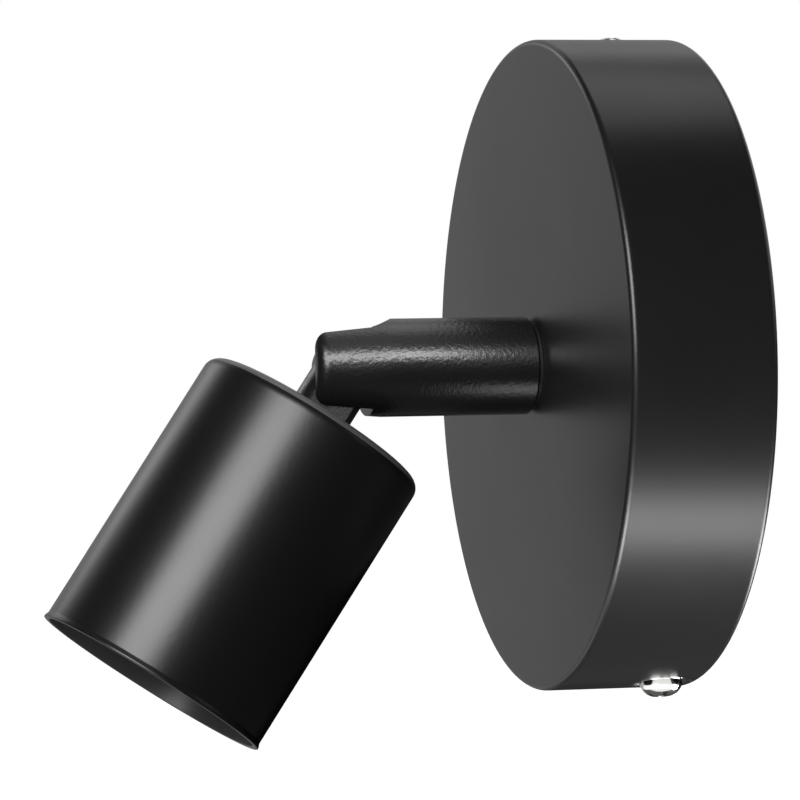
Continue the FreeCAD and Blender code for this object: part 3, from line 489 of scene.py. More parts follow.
def cutAway(mesh, tool):
    # takes the tool's shape out of the mesh
    holder = addObject(mesh.name + "_blank", mesh)
    cutter = addObject(mesh.name + "_tool", tool)
    modifier = holder.modifiers.new("recess", "BOOLEAN")
    modifier.operation = "DIFFERENCE"
    modifier.solver = "EXACT"
    modifier.object = cutter
    result = evaluated(mesh.name, holder)
    bpy.data.objects.remove(cutter)
    return smoothed(result)


def prism(outline, low, high):
    # a straight block over an outline of (x, y) points
    build = bmesh.new()
    base = [build.verts.new((x, y, low)) for x, y in outline]
    face = build.faces.new(base)
    grown = bmesh.ops.extrude_face_region(build, geom=[face])
    raised = [item for item in grown["geom"] if isinstance(item, bmesh.types.BMVert)]
    bmesh.ops.translate(build, verts=raised, vec=(0, 0, high - low))
    bmesh.ops.recalc_face_normals(build, faces=build.faces)
    mesh = bpy.data.meshes.new("recessTool")
    build.to_mesh(mesh)
    build.free()
    return mesh


def crossOutline(reach, half):
    # one arm of the cross, turned to make the other three
    quarter = [(reach, -half), (reach, half), (half, half)]
    corners = quarter + [(-y, x) for x, y in quarter] + [(-x, -y) for x, y in quarter]
    corners += [(y, -x) for x, y in quarter]
    return [(x * mm, y * mm) for x, y in corners]


def regularOutline(radius, sides):
    turns = [2 * math.pi * side / sides for side in range(sides)]
    return [(radius * math.cos(turn) * mm, radius * math.sin(turn) * mm) for turn in turns]


def addPiece(name, mesh, place, replaced):
    # puts a finished mesh where it belongs, in place of the nodes it stands for
    mesh.transform(place)
    piece = addObject(name, mesh)
    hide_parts(*replaced)
    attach(piece, bodyOf[replaced[0]])
    return piece


def edgesBroken(mesh, width, segments):
    # rounds off the sharp edges of a mesh
    holder = addObject(mesh.name + "_blank", mesh)
    modifier = holder.modifiers.new("brokenEdges", "BEVEL")
    modifier.width = width * mm
    modifier.segments = segments
    modifier.limit_method = "ANGLE"
    modifier.angle_limit = bevelAngle
    modifier.use_clamp_overlap = True
    return shaded(evaluated(mesh.name, holder))


def addMilled(node, mesh, place):
    # flat faces keep their own shading beside rounded edges
    piece = addPiece(node + "_finished", mesh, place, [node])
    weighted = piece.modifiers.new("flatFaces", "WEIGHTED_NORMAL")
    weighted.keep_sharp = True


def addRefined(node, bevel, segments):
    # a cleaned copy of a node whose sharp edges are broken
    mesh = nodes[node].data.copy()
    build = bmesh.new()
    build.from_mesh(mesh)
    bmesh.ops.remove_doubles(build, verts=build.verts, dist=weldDistance)
    bmesh.ops.dissolve_limit(build, angle_limit=flatAngle, verts=build.verts, edges=build.edges)
    build.to_mesh(mesh)
    build.free()
    addMilled(node, edgesBroken(mesh, bevel, segments), Matrix.Identity(4))


# the canopy, pressed from sheet; sizes here and below are in millimetres
canopySettings = {
    "radius": 60, "depth": 27, "steel": 1, "hole": 5.05,
    "frontRound": 1.1, "rearRound": 1.2, "lip": 1.0, "roundSteps": 8,
    "dimpleLevel": 6.7, "dimpleRadius": 5.8, "dimpleFloor": 4.8, "dimpleDepth": 1.3,
    "fineStep": 0.32, "fineReach": 7.5, "coarseTurn": 2,  # columns near a dimple, and degrees elsewhere
    "rowStep": 0.4, "wallFrom": 57,  # the side wall's rows, all outside this radius
}


def dimpleAngles():
    upright = math.atan2(bracketUp.z, bracketUp.x)
    return [upright, upright + math.pi]


def canopyAngles(given):
    # close columns round each dimple, wider ones between them
    fine = given["fineStep"] / given["radius"]
    halfCount = round(given["fineReach"] / given["fineStep"])
    angles = []
    for centre in dimpleAngles():
        angles += [centre + fine * step for step in range(-halfCount, halfCount + 1)]
        gap = math.pi - 2 * fine * halfCount
        count = round(gap / math.radians(given["coarseTurn"]))
        start = centre + fine * halfCount
        angles += [start + gap * step / count for step in range(1, count)]
    return angles


def canopyOutline(given):
    radius, depth, steel = given["radius"], given["depth"], given["steel"]
    opening = radius - given["rearRound"] - given["lip"]
    corners = [
        (given["hole"], depth, 0), (radius, depth, given["frontRound"]),
        (radius, 0, given["rearRound"]), (opening, 0, 0), (opening, steel, 0),
        (radius - steel, steel, given["rearRound"] - steel),
        (radius - steel, depth - steel, given["frontRound"] - steel), (given["hole"], depth - steel, 0),
    ]
    points = roundedOutline(corners, given["roundSteps"])
    rows = []
    for index, point in enumerate(points):
        rows.append(point)
        following = points[(index + 1) % len(points)]
        tall = abs(following.y - point.y) / mm
        if tall > depth / 2:
            count = round(tall / given["rowStep"])
            rows += [point.lerp(following, step / count) for step in range(1, count)]
    return rows


def dimpled(point, angle, given):
    # the row's radius, pressed in to a flat floor near each side screw
    for centre in dimpleAngles():
        offset = (angle - centre + math.pi) % (2 * math.pi) - math.pi
        away = math.hypot(offset * given["radius"], point.y / mm - given["dimpleLevel"])
        if away > given["dimpleRadius"] or point.x < given["wallFrom"] * mm:
            continue
        share = (given["dimpleRadius"] - away) / (given["dimpleRadius"] - given["dimpleFloor"])
        share = min(1, max(0, share))
        share = share * share * (3 - 2 * share)
        sunk = 0 if point.x > (given["radius"] - given["steel"] / 2) * mm else given["steel"]
        floor = (given["radius"] - given["dimpleDepth"] - sunk) * mm / math.cos(offset)
        return point.x + (floor - point.x) * share
    return point.x


def makeCanopy(given):
    rings = []
    for point in canopyOutline(given):
        ring = []
        for angle in canopyAngles(given):
            radius = dimpled(point, angle, given)
            ring.append((radius * math.cos(angle), -point.y, radius * math.sin(angle)))
        rings.append(ring)
    mesh = gridMesh("canopyMesh", rings, finishOf("canopy"))
    addPiece("canopy_pressed", mesh, Matrix.Identity(4), ["canopy"])


makeCanopy(canopySettings)
print("canopy made")


# the lamp cup, with its mouth away from the pivot
cupSettings = {
    "start": 11.2, "hole": 5.1, "radius": 22.5, "length": 56.7, "steel": 0.8, "shoulder": 2.6,
    "lipReach": 0.3, "lipStart": 1.1, "lipTop": 0.33,  # the last two back from the mouth
    "bendRound": 0.8, "lipRound": 0.12, "mouthRound": 0.15, "innerRound": 0.2,
    "steps": 192, "roundSteps": 8,
    "paintedLightColour": (0.07, 0.07, 0.072),  # painted light: the inside is coloured paler where light is seen in the cup's mouth
}


def makeCupPaintWithPaintedLight(given):
    # points nearer the head's axis than the wall's middle lie inside the cup, which is coloured paler there
    # as painted light
    material = makePaint("cupPaint", paintSettings)
    tree = material.node_tree
    place = addNode(tree, "ShaderNodeTexCoord")
    offset = addNode(tree, "ShaderNodeVectorMath", operation="SUBTRACT")
    offset.inputs[1].default_value = pivot
    crossed = addNode(tree, "ShaderNodeVectorMath", operation="CROSS_PRODUCT")
    crossed.inputs[1].default_value = headAxis
    away = addNode(tree, "ShaderNodeVectorMath", operation="LENGTH")
    link(tree, place.outputs["Object"], offset, 0)
    link(tree, offset.outputs[0], crossed, 0)
    link(tree, crossed.outputs[0], away, 0)
    middle = (given["radius"] - given["steel"] / 2) * mm
    # painted light: the cup's inside takes the paler colour
    recolour(material, given["paintedLightColour"], away.outputs["Value"], middle)
    return material


def makeCup(given):
    radius, length, steel = given["radius"], given["length"], given["steel"]
    lipOuter = radius + given["lipReach"]
    corners = [
        (given["hole"], 0, 0), (radius, 0, given["shoulder"]),
        (radius, length - given["lipStart"], given["bendRound"]),
        (lipOuter, length - given["lipTop"], given["lipRound"]), (lipOuter, length, given["mouthRound"]),
        (radius - steel, length, given["innerRound"]),
        (radius - steel, steel, given["shoulder"] - steel), (given["hole"], steel, 0),
    ]
    mesh = turnedMesh("cupMesh", corners, makeCupPaintWithPaintedLight(given), given["steps"], given["roundSteps"])
    addPiece("lamp_cup_spun", mesh, onAxis(headPlace, given["start"]), ["lamp_cup"])


# the lampholder: a rear cap and a front skirt that meet in a seam
holderSettings = {
    "start": 15.8, "radius": 19.5, "wall": 2.2, "neckRadius": 7.5, "threadRadius": 5.02,
    "neckLength": 7, "coneLength": 9, "capLength": 9,
    "skirtStart": 40.8, "skirtLength": 24.1, "boreRadius": 13.5, "groove": 0.8, "rimWide": 1.5,
    "outerRim": 0.4, "innerRim": 0.3, "grooveSlope": 0.4,
    "seam": 0.35, "edge": 0.3, "capEdge": 0.2, "neckEdge": 0.4, "neckFillet": 1.2, "coneEdge": 2.2,
    "innerFillet": 1, "innerNeckEdge": 0.5, "frontEdge": 1.1,
}


def makeHolder(given):
    shoulder = given["neckLength"] + given["coneLength"]
    capLength = shoulder + given["capLength"]
    radius, wall, neck, seam = given["radius"], given["wall"], given["neckRadius"], given["seam"]
    cap = [
        (given["threadRadius"], 0, 0), (neck, 0, given["neckEdge"]),
        (neck, given["neckLength"] - wall, given["neckFillet"]), (radius, shoulder, given["coneEdge"]),
        (radius, capLength, seam), (radius - wall, capLength, given["capEdge"]),
        (radius - wall, shoulder + wall / 2, given["innerFillet"]),
        (neck, given["neckLength"], given["innerNeckEdge"]), (given["threadRadius"], given["neckLength"], 0),
    ]
    mesh = turnedMesh("capMesh", cap, finishOf("holder_cap"))
    addPiece("holder_cap_moulded", mesh, onAxis(headPlace, given["start"]), ["holder_cap"])
    bore, end, edge = given["boreRadius"], given["skirtLength"], given["edge"]
    outer, inner = radius - given["rimWide"] - given["outerRim"], bore + given["rimWide"]
    skirt = [
        (bore, 0, 0), (radius, 0, seam), (radius, end, given["frontEdge"]), (outer, end, edge),
        (outer - given["grooveSlope"], end - given["groove"], edge),
        (inner + given["innerRim"], end - given["groove"], edge), (inner, end, edge), (bore, end, edge),
    ]
    mesh = turnedMesh("skirtMesh", skirt, finishOf("holder_skirt"))
    addPiece("holder_skirt_moulded", mesh, onAxis(headPlace, given["skirtStart"]), ["holder_skirt"])


# the rolled sleeve that the lamp screws into
shellSettings = {
    "start": 41, "length": 20.8, "crestRadius": 12.3, "threadDepth": 0.6, "sheet": 0.5,
    "pitch": 3.62, "rowStep": 0.3, "columns": 96, "fadeLength": 1.6,
}


def makeShell(given):
    # both faces of the sheet follow the same wave
    rows = round(given["length"] / given["rowStep"])
    rings = []
    for outside in (False, True):
        sheet = given["sheet"] if outside else 0
        order = range(rows, -1, -1) if outside else range(rows + 1)
        for row in order:
            height = given["length"] * row / rows
            fade = min(1, height / given["fadeLength"], (given["length"] - height) / given["fadeLength"])
            ring = []
            for column in range(given["columns"]):
                angle = 2 * math.pi * column / given["columns"]
                wave = 0.5 + 0.5 * math.sin(2 * math.pi * height / given["pitch"] - angle)
                radius = given["crestRadius"] + given["threadDepth"] * (1 - fade * (1 - wave)) + sheet
                ring.append((radius * math.cos(angle) * mm, radius * math.sin(angle) * mm, height * mm))
            rings.append(ring)
    mesh = gridMesh("shellMesh", rings, finishOf("screw_shell"))
    addPiece("screw_shell_rolled", mesh, onAxis(headPlace, given["start"]), ["screw_shell"])


makeCup(cupSettings)
makeHolder(holderSettings)
makeShell(shellSettings)
print("cup and lampholder made")


# each kind of screw, and where it sits: in the bracket's place, the head's or the arm's
screwSettings = {
    "side": {"shank": 4, "length": 9, "head": 9, "height": 3.6, "rounding": 2.9, "flange": 0.8,
             "teeth": 22, "toothDepth": 0.22, "pitch": 0.7},
    "earth": {"shank": 4, "length": 2.3, "head": 7, "height": 2.4, "rounding": 1.6, "pitch": 0.7,
              "seat": (0, -22, 2.3)},
    "block": {"shank": 3, "length": 13.5, "head": 5.4, "height": 1.8, "rounding": 1.2, "pitch": 0.5,
              "seat": (4.75, 20, 13.5)},
    "holder": {"shank": 3, "length": 5, "head": 5, "height": 1.5, "rounding": 1, "pitch": 0.5,
               "reach": 10, "level": 34.8},
    "pivot": {"shank": 4, "length": 12.93, "head": 7.6, "height": 2.4, "rounding": 1.6, "pitch": 0.7,
              "hex": 2.5, "hexDepth": 1.2, "outward": 5.43},
    "clamp": {"shank": 2.6, "length": 3.4, "pitch": 0.45, "slot": 0.6, "slotDepth": 0.8, "steps": 48,
              "chamferWide": 0.15, "chamferTall": 0.25,
              "columns": (-9.5, 0, 9.5), "rows": (16.5, 23.5), "level": 9, "columnTurn": 0.4, "rowTurn": 0.9},
}
screwForm = {
    "threadDepth": 0.45,  # in pitches
    "tip": 0.3, "neck": 0.2, "seatRound": 0.15, "flangeWide": 0.5, "flangeRound": 0.2, "flangeFillet": 0.1,
    "crossReach": 0.3, "crossHalf": 0.055,  # in head widths
    "crossFloor": 0.45,  # in head heights
    "clear": 1,  # how far the recess's tool reaches past the head
    "steps": 88, "roundSteps": 5,
}


def threadedCorners(given):
    # the thread's ridges, from the tip up to the seat
    crest = given["shank"] / 2
    root = crest - screwForm["threadDepth"] * given["pitch"]
    turns = int((given["length"] - 2 * screwForm["tip"]) / given["pitch"])
    corners = [(0, -given["length"], 0), (root, -given["length"], 0)]
    start = -given["length"] + screwForm["tip"]
    for turn in range(turns):
        corners.append((root, start + turn * given["pitch"], 0))
        corners.append((crest, start + (turn + 0.5) * given["pitch"], 0))
    corners.append((root, start + turns * given["pitch"], 0))
    return corners


def screwMesh(name, given, material):
    # a screw with its seat at z = 0 and its head above
    head, height = given["head"], given["height"]
    radius = head / 2
    corners = threadedCorners(given)
    corners += [(given["shank"] / 2 - screwForm["neck"], 0, 0), (radius, 0, screwForm["seatRound"])]
    if "flange" in given:
        corners.append((radius, given["flange"], screwForm["flangeRound"]))
        radius -= screwForm["flangeWide"]
        corners.append((radius, given["flange"], screwForm["flangeFillet"]))
    corners += [(radius, height, given["rounding"]), (0, height, 0)]
    mesh = turnedMesh(name, corners, material, screwForm["steps"], screwForm["roundSteps"])
    if "teeth" in given:
        serrate(mesh, given)
    if "hex" in given:
        outline = regularOutline(given["hex"] / 2 / math.cos(math.radians(30)), 6)
        floor = height - given["hexDepth"]
    else:
        outline = crossOutline(screwForm["crossReach"] * head, screwForm["crossHalf"] * head)
        floor = screwForm["crossFloor"] * height
    return cutAway(mesh, prism(outline, floor * mm, (height + screwForm["clear"]) * mm))


def serrate(mesh, given):
    # presses notches into the rim of the head's flange
    near = 0.05 * mm
    rim = (given["head"] / 2 - screwForm["flangeWide"]) * mm + near
    for vertex in mesh.vertices:
        x, y, z = vertex.co
        away = math.hypot(x, y)
        if away > rim and -near < z < given["flange"] * mm + near:
            notch = 0.5 - 0.5 * math.cos(given["teeth"] * math.atan2(y, x))
            scale = 1 - notch * given["toothDepth"] * mm / away
            vertex.co.x, vertex.co.y = x * scale, y * scale


def makeSideScrews(given):
    turn = math.atan2(bracketUp.x, bracketUp.z)
    seat = (canopySettings["radius"] - canopySettings["dimpleDepth"]) * mm
    level = Vector((0, -canopySettings["dimpleLevel"] * mm, 0))
    spots = [(bracketUp * seat + level, (0, turn, 0)), (-bracketUp * seat + level, (0, turn + math.pi, 0))]
    finish = finishOf("canopy_screws")
    mesh = smoothed(repeated("sideScrewMesh", screwMesh("sideScrew", given, finish), spots, finish))
    addPiece("canopy_screws_finished", mesh, Matrix.Identity(4), ["canopy_screws"])


def makeSingleScrews(given):
    pivotSeat = Matrix.Translation((-given["pivot"]["outward"] * mm, 0, -pivot.y))
    places = {
        "earth": bracketPlace @ Matrix.Translation(Vector(given["earth"]["seat"]) * mm),
        "block": bracketPlace @ Matrix.Translation(Vector(given["block"]["seat"]) * mm),
        "pivot": armPlace @ pivotSeat @ Matrix.Rotation(math.radians(-90), 4, "Y"),
    }
    for kind, place in places.items():
        node = kind + "_screw"
        addPiece(node + "_finished", screwMesh(node + "Mesh", given[kind], finishOf(node)), place, [node])


def makeHolderScrews(given):
    spots = [((side * given["reach"] * mm, 0, 0), (math.pi, 0, 0)) for side in (-1, 1)]
    node = "holder_terminal_screws"
    finish = finishOf(node)
    mesh = smoothed(repeated("holderScrewMesh", screwMesh("holderScrew", given, finish), spots, finish))
    addPiece(node + "_finished", mesh, onAxis(headPlace, given["level"]), [node])


def makeClampScrews(given):
    # headless, with a slot, each turned differently
    top, crest = given["length"], given["shank"] / 2
    corners = [(radius, height + top, rounding) for radius, height, rounding in threadedCorners(given)]
    corners += [(crest, top - given["chamferTall"], 0), (crest - given["chamferWide"], top, 0), (0, top, 0)]
    half, reach = given["slot"] / 2 * mm, given["shank"] * mm
    slot = [(-reach, -half), (reach, -half), (reach, half), (-reach, half)]
    tool = prism(slot, (top - given["slotDepth"]) * mm, (top + screwForm["clear"]) * mm)
    finish = finishOf("terminal_screws")
    screw = cutAway(turnedMesh("clampScrew", corners, finish, given["steps"]), tool)
    spots = []
    for x in given["columns"]:
        for y in given["rows"]:
            turn = given["columnTurn"] * x + given["rowTurn"] * y
            spots.append(((x * mm, y * mm, given["level"] * mm), (0, 0, turn)))
    mesh = smoothed(repeated("clampScrewMesh", screw, spots, finish))
    addPiece("terminal_screws_finished", mesh, bracketPlace, ["terminal_screws"])


makeSideScrews(screwSettings["side"])
makeSingleScrews(screwSettings)
makeHolderScrews(screwSettings["holder"])
makeClampScrews(screwSettings["clamp"])
print("screws made")

# the two nuts, alike, one on the arm's tube and one on the head's stem
nutSettings = {
    "width": 14, "thickness": 3, "hole": 5.02, "threadDepth": 0.35, "pitch": 1, "chamfer": 0.9,
    "chamferSlope": 1.8, "columns": 144, "rows": 12,
    "nippleLevel": 20.2, "stemLevel": 12.8,
}


def nutMesh(name, given, material):
    # a hexagon whose corners are turned off at both faces
    half, thickness = given["width"] / 2, given["thickness"]
    cornerTurn = math.radians(30)
    turns = [2 * math.pi * column / given["columns"] for column in range(given["columns"])]
    levels = [step * thickness / given["rows"] for step in range(given["rows"] + 1)]
    rings = []
    for level in levels:
        depth = min(level, thickness - level)
        limit = half / math.cos(cornerTurn) - max(0, given["chamfer"] - depth * given["chamferSlope"])
        ring = []
        for turn in turns:
            offFlat = (turn + cornerTurn) % (2 * cornerTurn) - cornerTurn
            radius = min(half / math.cos(offFlat), limit)
            ring.append((radius * math.cos(turn) * mm, radius * math.sin(turn) * mm, level * mm))
        rings.append(ring)
    for level in reversed(levels):
        wave = 0.5 + 0.5 * math.cos(2 * math.pi * level / given["pitch"])
        radius = (given["hole"] + given["threadDepth"] * wave) * mm
        rings.append([(radius * math.cos(turn), radius * math.sin(turn), level * mm) for turn in turns])
    mesh = gridMesh(name, rings, material)
    mesh.transform(Matrix.Rotation(cornerTurn, 4, "Z"))
    return mesh


def makeNuts(given):
    places = {"nipple": onAxis(armPlace, given["nippleLevel"]), "stem": onAxis(headPlace, given["stemLevel"])}
    for kind, place in places.items():
        node = kind + "_nut"
        addPiece(node + "_finished", nutMesh(kind + "NutMesh", given, finishOf(node)), place, [node])


makeNuts(nutSettings)
print("nuts made")


# the arm, turned from a bar and cut back to one cheek at its nose
armSettings = {
    "start": 27.8, "length": 41.6, "radius": 9, "foot": 0.4, "footRound": 0.1,
    "taper": 13.4, "taperRings": 16, "noseRadius": 8, "noseRound": 2.3,
    "bore": 4.3, "boreEnd": 34.1, "grip": 9, "hole": 5.02, "cheekFace": 4.7,
    "chinEnd": 30.8, "tapping": 2.02, "tappingDepth": 2.9, "tappingSides": 36,
    "edge": 0.35, "edgeSteps": 3, "rings": 20, "steps": 160, "roundSteps": 10,
    "clear": 1,  # how far the cutting tools reach past the metal
    # for each height band: its low and high level, where the run-out starts, and its radius
    "runouts": ((-6.5, 4.75, 25.5, 4.0), (4.7, 10, 25.8, 6.5)), "runoutSteps": 24,
}


def sideTool(outline, low, high):
    # a block over an outline of (x, z) millimetres, from the low to the high y
    tool = prism([(x * mm, z * mm) for x, z in outline], -high * mm, -low * mm)
    tool.transform(Matrix.Rotation(math.radians(90), 4, "X"))
    return tool


def runoutTool(given, low, high, start, radius):
    far, top, cheek = -given["radius"] - given["clear"], given["length"] + given["clear"], given["cheekFace"]
    outline = [(far, start)]
    for step in range(given["runoutSteps"] + 1):
        angle = math.radians(-90 + 90 * step / given["runoutSteps"])
        outline.append((cheek + radius * (math.cos(angle) - 1), start + radius * (1 + math.sin(angle))))
    outline += [(cheek, top), (far, top)]
    return sideTool(outline, low, high)


def armCorners(given):
    # in close rings along the wall, so that its shading stays even past the cuts
    radius, nose, foot, length = given["radius"], given["noseRadius"], given["foot"], given["length"]
    rings, hole, bore, boreEnd = given["rings"], given["hole"], given["bore"], given["boreEnd"]
    straight = length - given["taper"] - foot
    corners = [(hole, 0, 0), (radius - foot, 0, given["footRound"]), (radius, foot, given["footRound"])]
    corners += [(radius, foot + straight * step / rings, 0) for step in range(1, rings + 1)]
    corners += [(radius + (nose - radius) * step / rings, length - given["taper"] * (1 - step / rings), 0)
                for step in range(1, given["taperRings"])]
    corners += [
        (nose, length, given["noseRound"]), (0, length, 0), (0, boreEnd, 0), (bore, boreEnd, 0),
        (bore, given["grip"], 0), (hole, given["grip"], 0),
    ]
    return corners


def tappingTool(given):
    # the hole for the pivot screw, across the bar into its cheek
    cheek = given["cheekFace"]
    tool = prism(regularOutline(given["tapping"], given["tappingSides"]),
                 (cheek - given["clear"]) * mm, (cheek + given["tappingDepth"]) * mm)
    tool.transform(onAxis(Matrix.Identity(4), given["boreEnd"]) @ Matrix.Rotation(math.radians(90), 4, "Y"))
    return tool


def makeArm(given):
    finish = finishOf("swivel_arm")
    mesh = turnedMesh("armMesh", armCorners(given), finish, given["steps"], given["roundSteps"])
    for low, high, start, radius in given["runouts"]:
        mesh = cutAway(mesh, runoutTool(given, low, high, start, radius))
    far, top, cheek = -given["radius"] - given["clear"], given["length"] + given["clear"], given["cheekFace"]
    chin = [(far, given["chinEnd"]), (cheek, given["chinEnd"]), (cheek, top), (far, top)]
    mesh = cutAway(mesh, sideTool(chin, far, -far))
    mesh = edgesBroken(cutAway(mesh, tappingTool(given)), given["edge"], given["edgeSteps"])
    addMilled("swivel_arm", mesh, onAxis(armPlace, given["start"]))


makeArm(armSettings)
print("arm made")


# the leads across the two joints, each made with bends at its corners
wireSettings = {
    "radius": 0.9, "sides": 24, "halfGap": 1.1, "entryGap": 6.5,
    "bendShare": 0.45, "bendSteps": 12, "rowStep": 0.5, "blendReach": 7,
    # the height and reach of each corner: first in the arm's place, then in the head's
    "armRun": ((0, 27), (0, 38.1), (-0.73, 49.2)),
    "headRun": ((-2.95, 3.31), (-2.95, 25.1)),
    "entryRun": (29.8, 37.8),
    # the base's own lengths: across and up at the terminal, then along the swivel's axis
    "terminalPitch": 9.5, "terminalRun": ((20, 7.5), (4.5, 7.5)),
    "axisRun": (12, 27),
}


def bentPath(corners, share, steps, rowStep):
    # straight runs with a smooth bend at each corner, in short rows throughout
    points = [corners[0]]
    for before, corner, after in zip(corners, corners[1:], corners[2:]):
        setback = share * min((corner - before).length, (after - corner).length)
        first = corner + (before - corner).normalized() * setback
        last = corner + (after - corner).normalized() * setback
        for step in range(steps + 1):
            part = step / steps
            points.append(first.lerp(corner, part).lerp(corner.lerp(last, part), part))
    points.append(corners[-1])
    rows = []
    for point, following in zip(points, points[1:]):
        count = max(1, round((following - point).length / rowStep))
        rows += [point.lerp(following, step / count) for step in range(count)]
    return rows + [corners[-1]]


def addWire(name, corners, replaced, given):
    points = bentPath(corners, given["bendShare"], given["bendSteps"], given["rowStep"] * mm)
    line = bpy.data.meshes.new(name + "Line")
    line.from_pydata(points, [(index, index + 1) for index in range(len(points) - 1)], [])
    sizes = {"Radius": given["radius"] * mm, "Sides": given["sides"], "Finish": finishOf(replaced[0])}
    wire = addObject(name, smoothed(baked(name + "Mesh", line, wireTree, sizes)))
    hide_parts(*replaced)
    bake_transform(wire)


def makeWires(given):
    for name, side in (("live", -1), ("neutral", 1)):
        across = side * given["halfGap"]
        corners = [armPlace @ (Vector((across, up, away)) * mm) for up, away in given["armRun"]]
        corners += [headPlace @ (Vector((across, up, away)) * mm) for up, away in given["headRun"]]
        entry = side * given["entryGap"]
        corners += [headPlace @ (Vector((entry, 0, away)) * mm) for away in given["entryRun"]]
        addWire(name + "_lead_tilting", corners, (f"arm_{name}_lead", f"head_{name}_lead"), given)
        pitch = side * given["terminalPitch"]
        corners = [bracketPlace @ (Vector((pitch, up, away)) * mm) for up, away in given["terminalRun"]]
        corners += [armPlace @ (Vector((across, 0, away)) * mm) for away in given["axisRun"]]
        addWire(name + "_lead_twisting", corners, (f"{name}_lead",), given)


makeWires(wireSettings)
print("leads bent across the joints")


# milled and moulded pieces keep their solids' shape, with their edges broken
edgeSettings = {"wide": 0.2, "wideSteps": 3, "narrowSteps": 2}  # an edge over 0.2 mm is a wide one
brokenEdges = {  # millimetres taken off each sharp edge
    "knuckle_stem": 0.3, "mounting_bracket": 0.25, "terminal_block": 0.4,
    "terminal_barrels": 0.12, "earth_tag": 0.12, "stop_stud": 0.2, "stop_washer": 0.15,
    "spring_washer": 0.15, "slide_washer": 0.1, "face_washer": 0.1, "hollow_nipple": 0.15,
    "contact_base": 0.3, "centre_contact": 0.08, "pivot_friction_washer": 0.05,
    "pivot_spring_washer": 0.12, "cup_lock_washer": 0.12,
}
for node, bevel in brokenEdges.items():
    addRefined(node, bevel, edgeSettings["wideSteps" if bevel > edgeSettings["wide"] else "narrowSteps"])
print("edges broken on", len(brokenEdges), "pieces")


# the studio: white to look at, with less light than that on the object; sizes in metres
studio = {
    "floorLevel": -0.6,
    "floorSize": 12,
    "floorColour": (0.86, 0.86, 0.86),
    "floorRoughness": 0.9,
    "floorGlow": 0.75,  # only as it is seen
    "worldLight": 0.35,
}


def seenDirectly(tree):
    # 1 for camera, glossy and transmission rays, 0 for the light itself
    path = addNode(tree, "ShaderNodeLightPath")
    first = addNode(tree, "ShaderNodeMath", operation="ADD")
    second = addNode(tree, "ShaderNodeMath", operation="ADD", use_clamp=True)
    link(tree, path.outputs["Is Camera Ray"], first, 0)
    link(tree, path.outputs["Is Glossy Ray"], first, 1)
    link(tree, first.outputs[0], second, 0)
    link(tree, path.outputs["Is Transmission Ray"], second, 1)
    return second.outputs[0]


def makeWorld(given):
    world = bpy.data.worlds.new("studioWorld")
    world.use_nodes = True
    scene.world = world
    tree = world.node_tree
    background = tree.nodes["Background"]
    background.inputs["Color"].default_value = (1, 1, 1, 1)
    link(tree, spread(tree, seenDirectly(tree), given["worldLight"], 1, 0, 1), background, "Strength")


def rectangle(name, wide, high):
    x, y = wide / 2, high / 2
    mesh = bpy.data.meshes.new(name)
    mesh.from_pydata([(-x, -y, 0), (x, -y, 0), (x, y, 0), (-x, y, 0)], [], [(0, 1, 2, 3)])
    return mesh


def makeFloor(given):
    mesh = rectangle("studioFloor", given["floorSize"], given["floorSize"])
    mesh.transform(Matrix.Translation((0, 0, given["floorLevel"])))
    material, tree, shader = newMaterial("paleFloor", given["floorColour"], 0, given["floorRoughness"])
    shader.inputs["Emission Color"].default_value = (1, 1, 1, 1)
    link(tree, spread(tree, seenDirectly(tree), 0, given["floorGlow"], 0, 1), shader, "Emission Strength")
    mesh.materials.append(material)
    addObject("studioFloor", mesh)


makeWorld(studio)
makeFloor(studio)

# each softbox: the way to it from the object, how far, its size, its brightness,
# and the pieces that it lights where it doesn't light them all
armPieces = ("swivel_arm_finished", "knuckle_stem_finished")
basePieces = ("canopy_pressed", "canopy_screws_finished")
softboxes = {
    "keySoftbox": {"toward": (0.72, -0.53, 0.46), "away": 0.6, "wide": 0.38, "high": 0.34, "glow": 10.5},
    "undersideSoftbox": {"toward": (0.64, 0.27, -0.72), "away": 0.5, "wide": 0.22, "high": 0.14, "glow": 7.6,
                         "lights": basePieces},
    "frontEdgeSoftbox": {"toward": (0.52, -0.36, -0.77), "away": 0.5, "wide": 0.34, "high": 0.16, "glow": 19,
                         "lights": basePieces},
    "rearEdgeSoftbox": {"toward": (0.2, 0.75, -0.63), "away": 0.45, "wide": 0.30, "high": 0.14, "glow": 16,
                        "lights": basePieces},
    "topSoftbox": {"toward": (-0.27, 0.27, 0.925), "away": 0.6, "wide": 0.30, "high": 0.30, "glow": 1.1},
    "backSoftbox": {"toward": (-0.82, -0.43, 0.39), "away": 0.7, "wide": 0.20, "high": 0.22, "glow": 1.9},
    "screwSoftbox": {"toward": (0.7, -0.1, -0.7), "away": 0.4, "wide": 0.9, "high": 0.9, "glow": 0.9,
                     "lights": ("canopy_screws_finished",)},
    "stubSoftbox": {"toward": (0.96, 0.27, -0.1), "away": 0.5, "wide": 0.2, "high": 0.16, "glow": 2.2,
                    "lights": ("knuckle_stem_finished",)},
    "armStrip": {"toward": (0.8, 0.27, 0.55), "away": 0.5, "wide": 0.6, "high": 0.12, "glow": 17,
                 "lights": armPieces},
    "armTop": {"toward": (-0.1, 0.27, 0.95), "away": 0.5, "wide": 0.7, "high": 0.6, "glow": 0.55,
               "lights": armPieces},
}
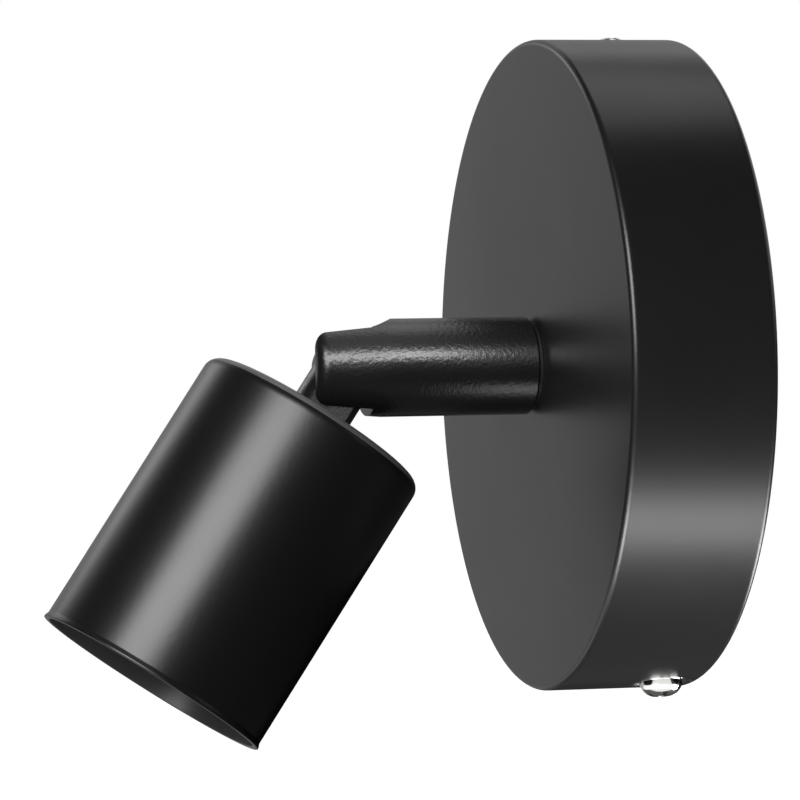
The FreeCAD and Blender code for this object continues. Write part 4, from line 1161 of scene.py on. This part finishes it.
# each card stands in what the paint mirrors, seen by no camera, with its own grey
cards = {
    "rightCard": {"toward": (1, 0.15, 0), "away": 0.85, "wide": 2.0, "high": 1.8, "grey": 0.0},
    "frontCard": {"toward": (0.1, -1, 0.1), "away": 0.9, "wide": 2.0, "high": 1.8, "grey": 0.0},
    "topCard": {"toward": (0, 0, 1), "away": 0.9, "wide": 2.0, "high": 2.0, "grey": 0.02},
    "bottomCard": {"toward": (0, 0.1, -1), "away": 0.55, "wide": 2.0, "high": 2.0, "grey": 0.1},
    "leftCard": {"toward": (-0.96, -0.27, -0.06), "away": 1.0, "wide": 1.8, "high": 1.6, "grey": 0.43},
    "behindCard": {"toward": (-0.7, 0.63, -0.3), "away": 0.9, "wide": 0.9, "high": 0.7, "grey": 0.0},
    "wallCard": {"toward": (0, 0.93, -0.35), "away": 0.8, "wide": 1.8, "high": 0.9, "grey": 0.0},
}
studioMiddle = Vector((0, -0.045, -0.01))


def aimed(given):
    toward = Vector(given["toward"]).normalized()
    turn = toward.to_track_quat("Z", "Y").to_matrix().to_4x4()
    return Matrix.Translation(studioMiddle + toward * given["away"]) @ turn


def makeSoftbox(name, given):
    light = bpy.data.lights.new(name, "AREA")
    light.shape = "RECTANGLE"
    light.size = given["wide"]
    light.size_y = given["high"]
    light.energy = given["glow"] * math.pi * given["wide"] * given["high"]
    lamp = addObject(name, light)
    lamp.matrix_world = aimed(given)
    lamp.visible_camera = False
    if "lights" in given:
        chosen = bpy.data.collections.new(name + "Pieces")
        for piece in given["lights"]:
            chosen.objects.link(bpy.data.objects[piece])
        lamp.light_linking.receiver_collection = chosen


def makeCard(name, given):
    mesh = rectangle(name, given["wide"], given["high"])
    material, tree, shader = newMaterial(name, (0, 0, 0), 0, 1)
    shader.inputs["Specular IOR Level"].default_value = 0
    shader.inputs["Emission Color"].default_value = (1, 1, 1, 1)
    shader.inputs["Emission Strength"].default_value = given["grey"]
    mesh.materials.append(material)
    mesh.transform(aimed(given))
    card = addObject(name, mesh)
    card.visible_camera = False
    card.visible_diffuse = False
    card.visible_transmission = False
    card.visible_shadow = False


for name, given in softboxes.items():
    makeSoftbox(name, given)
for name, given in cards.items():
    makeCard(name, given)
scene.view_settings.view_transform = "Standard"
print("floor,", len(softboxes), "softboxes and", len(cards), "cards placed")
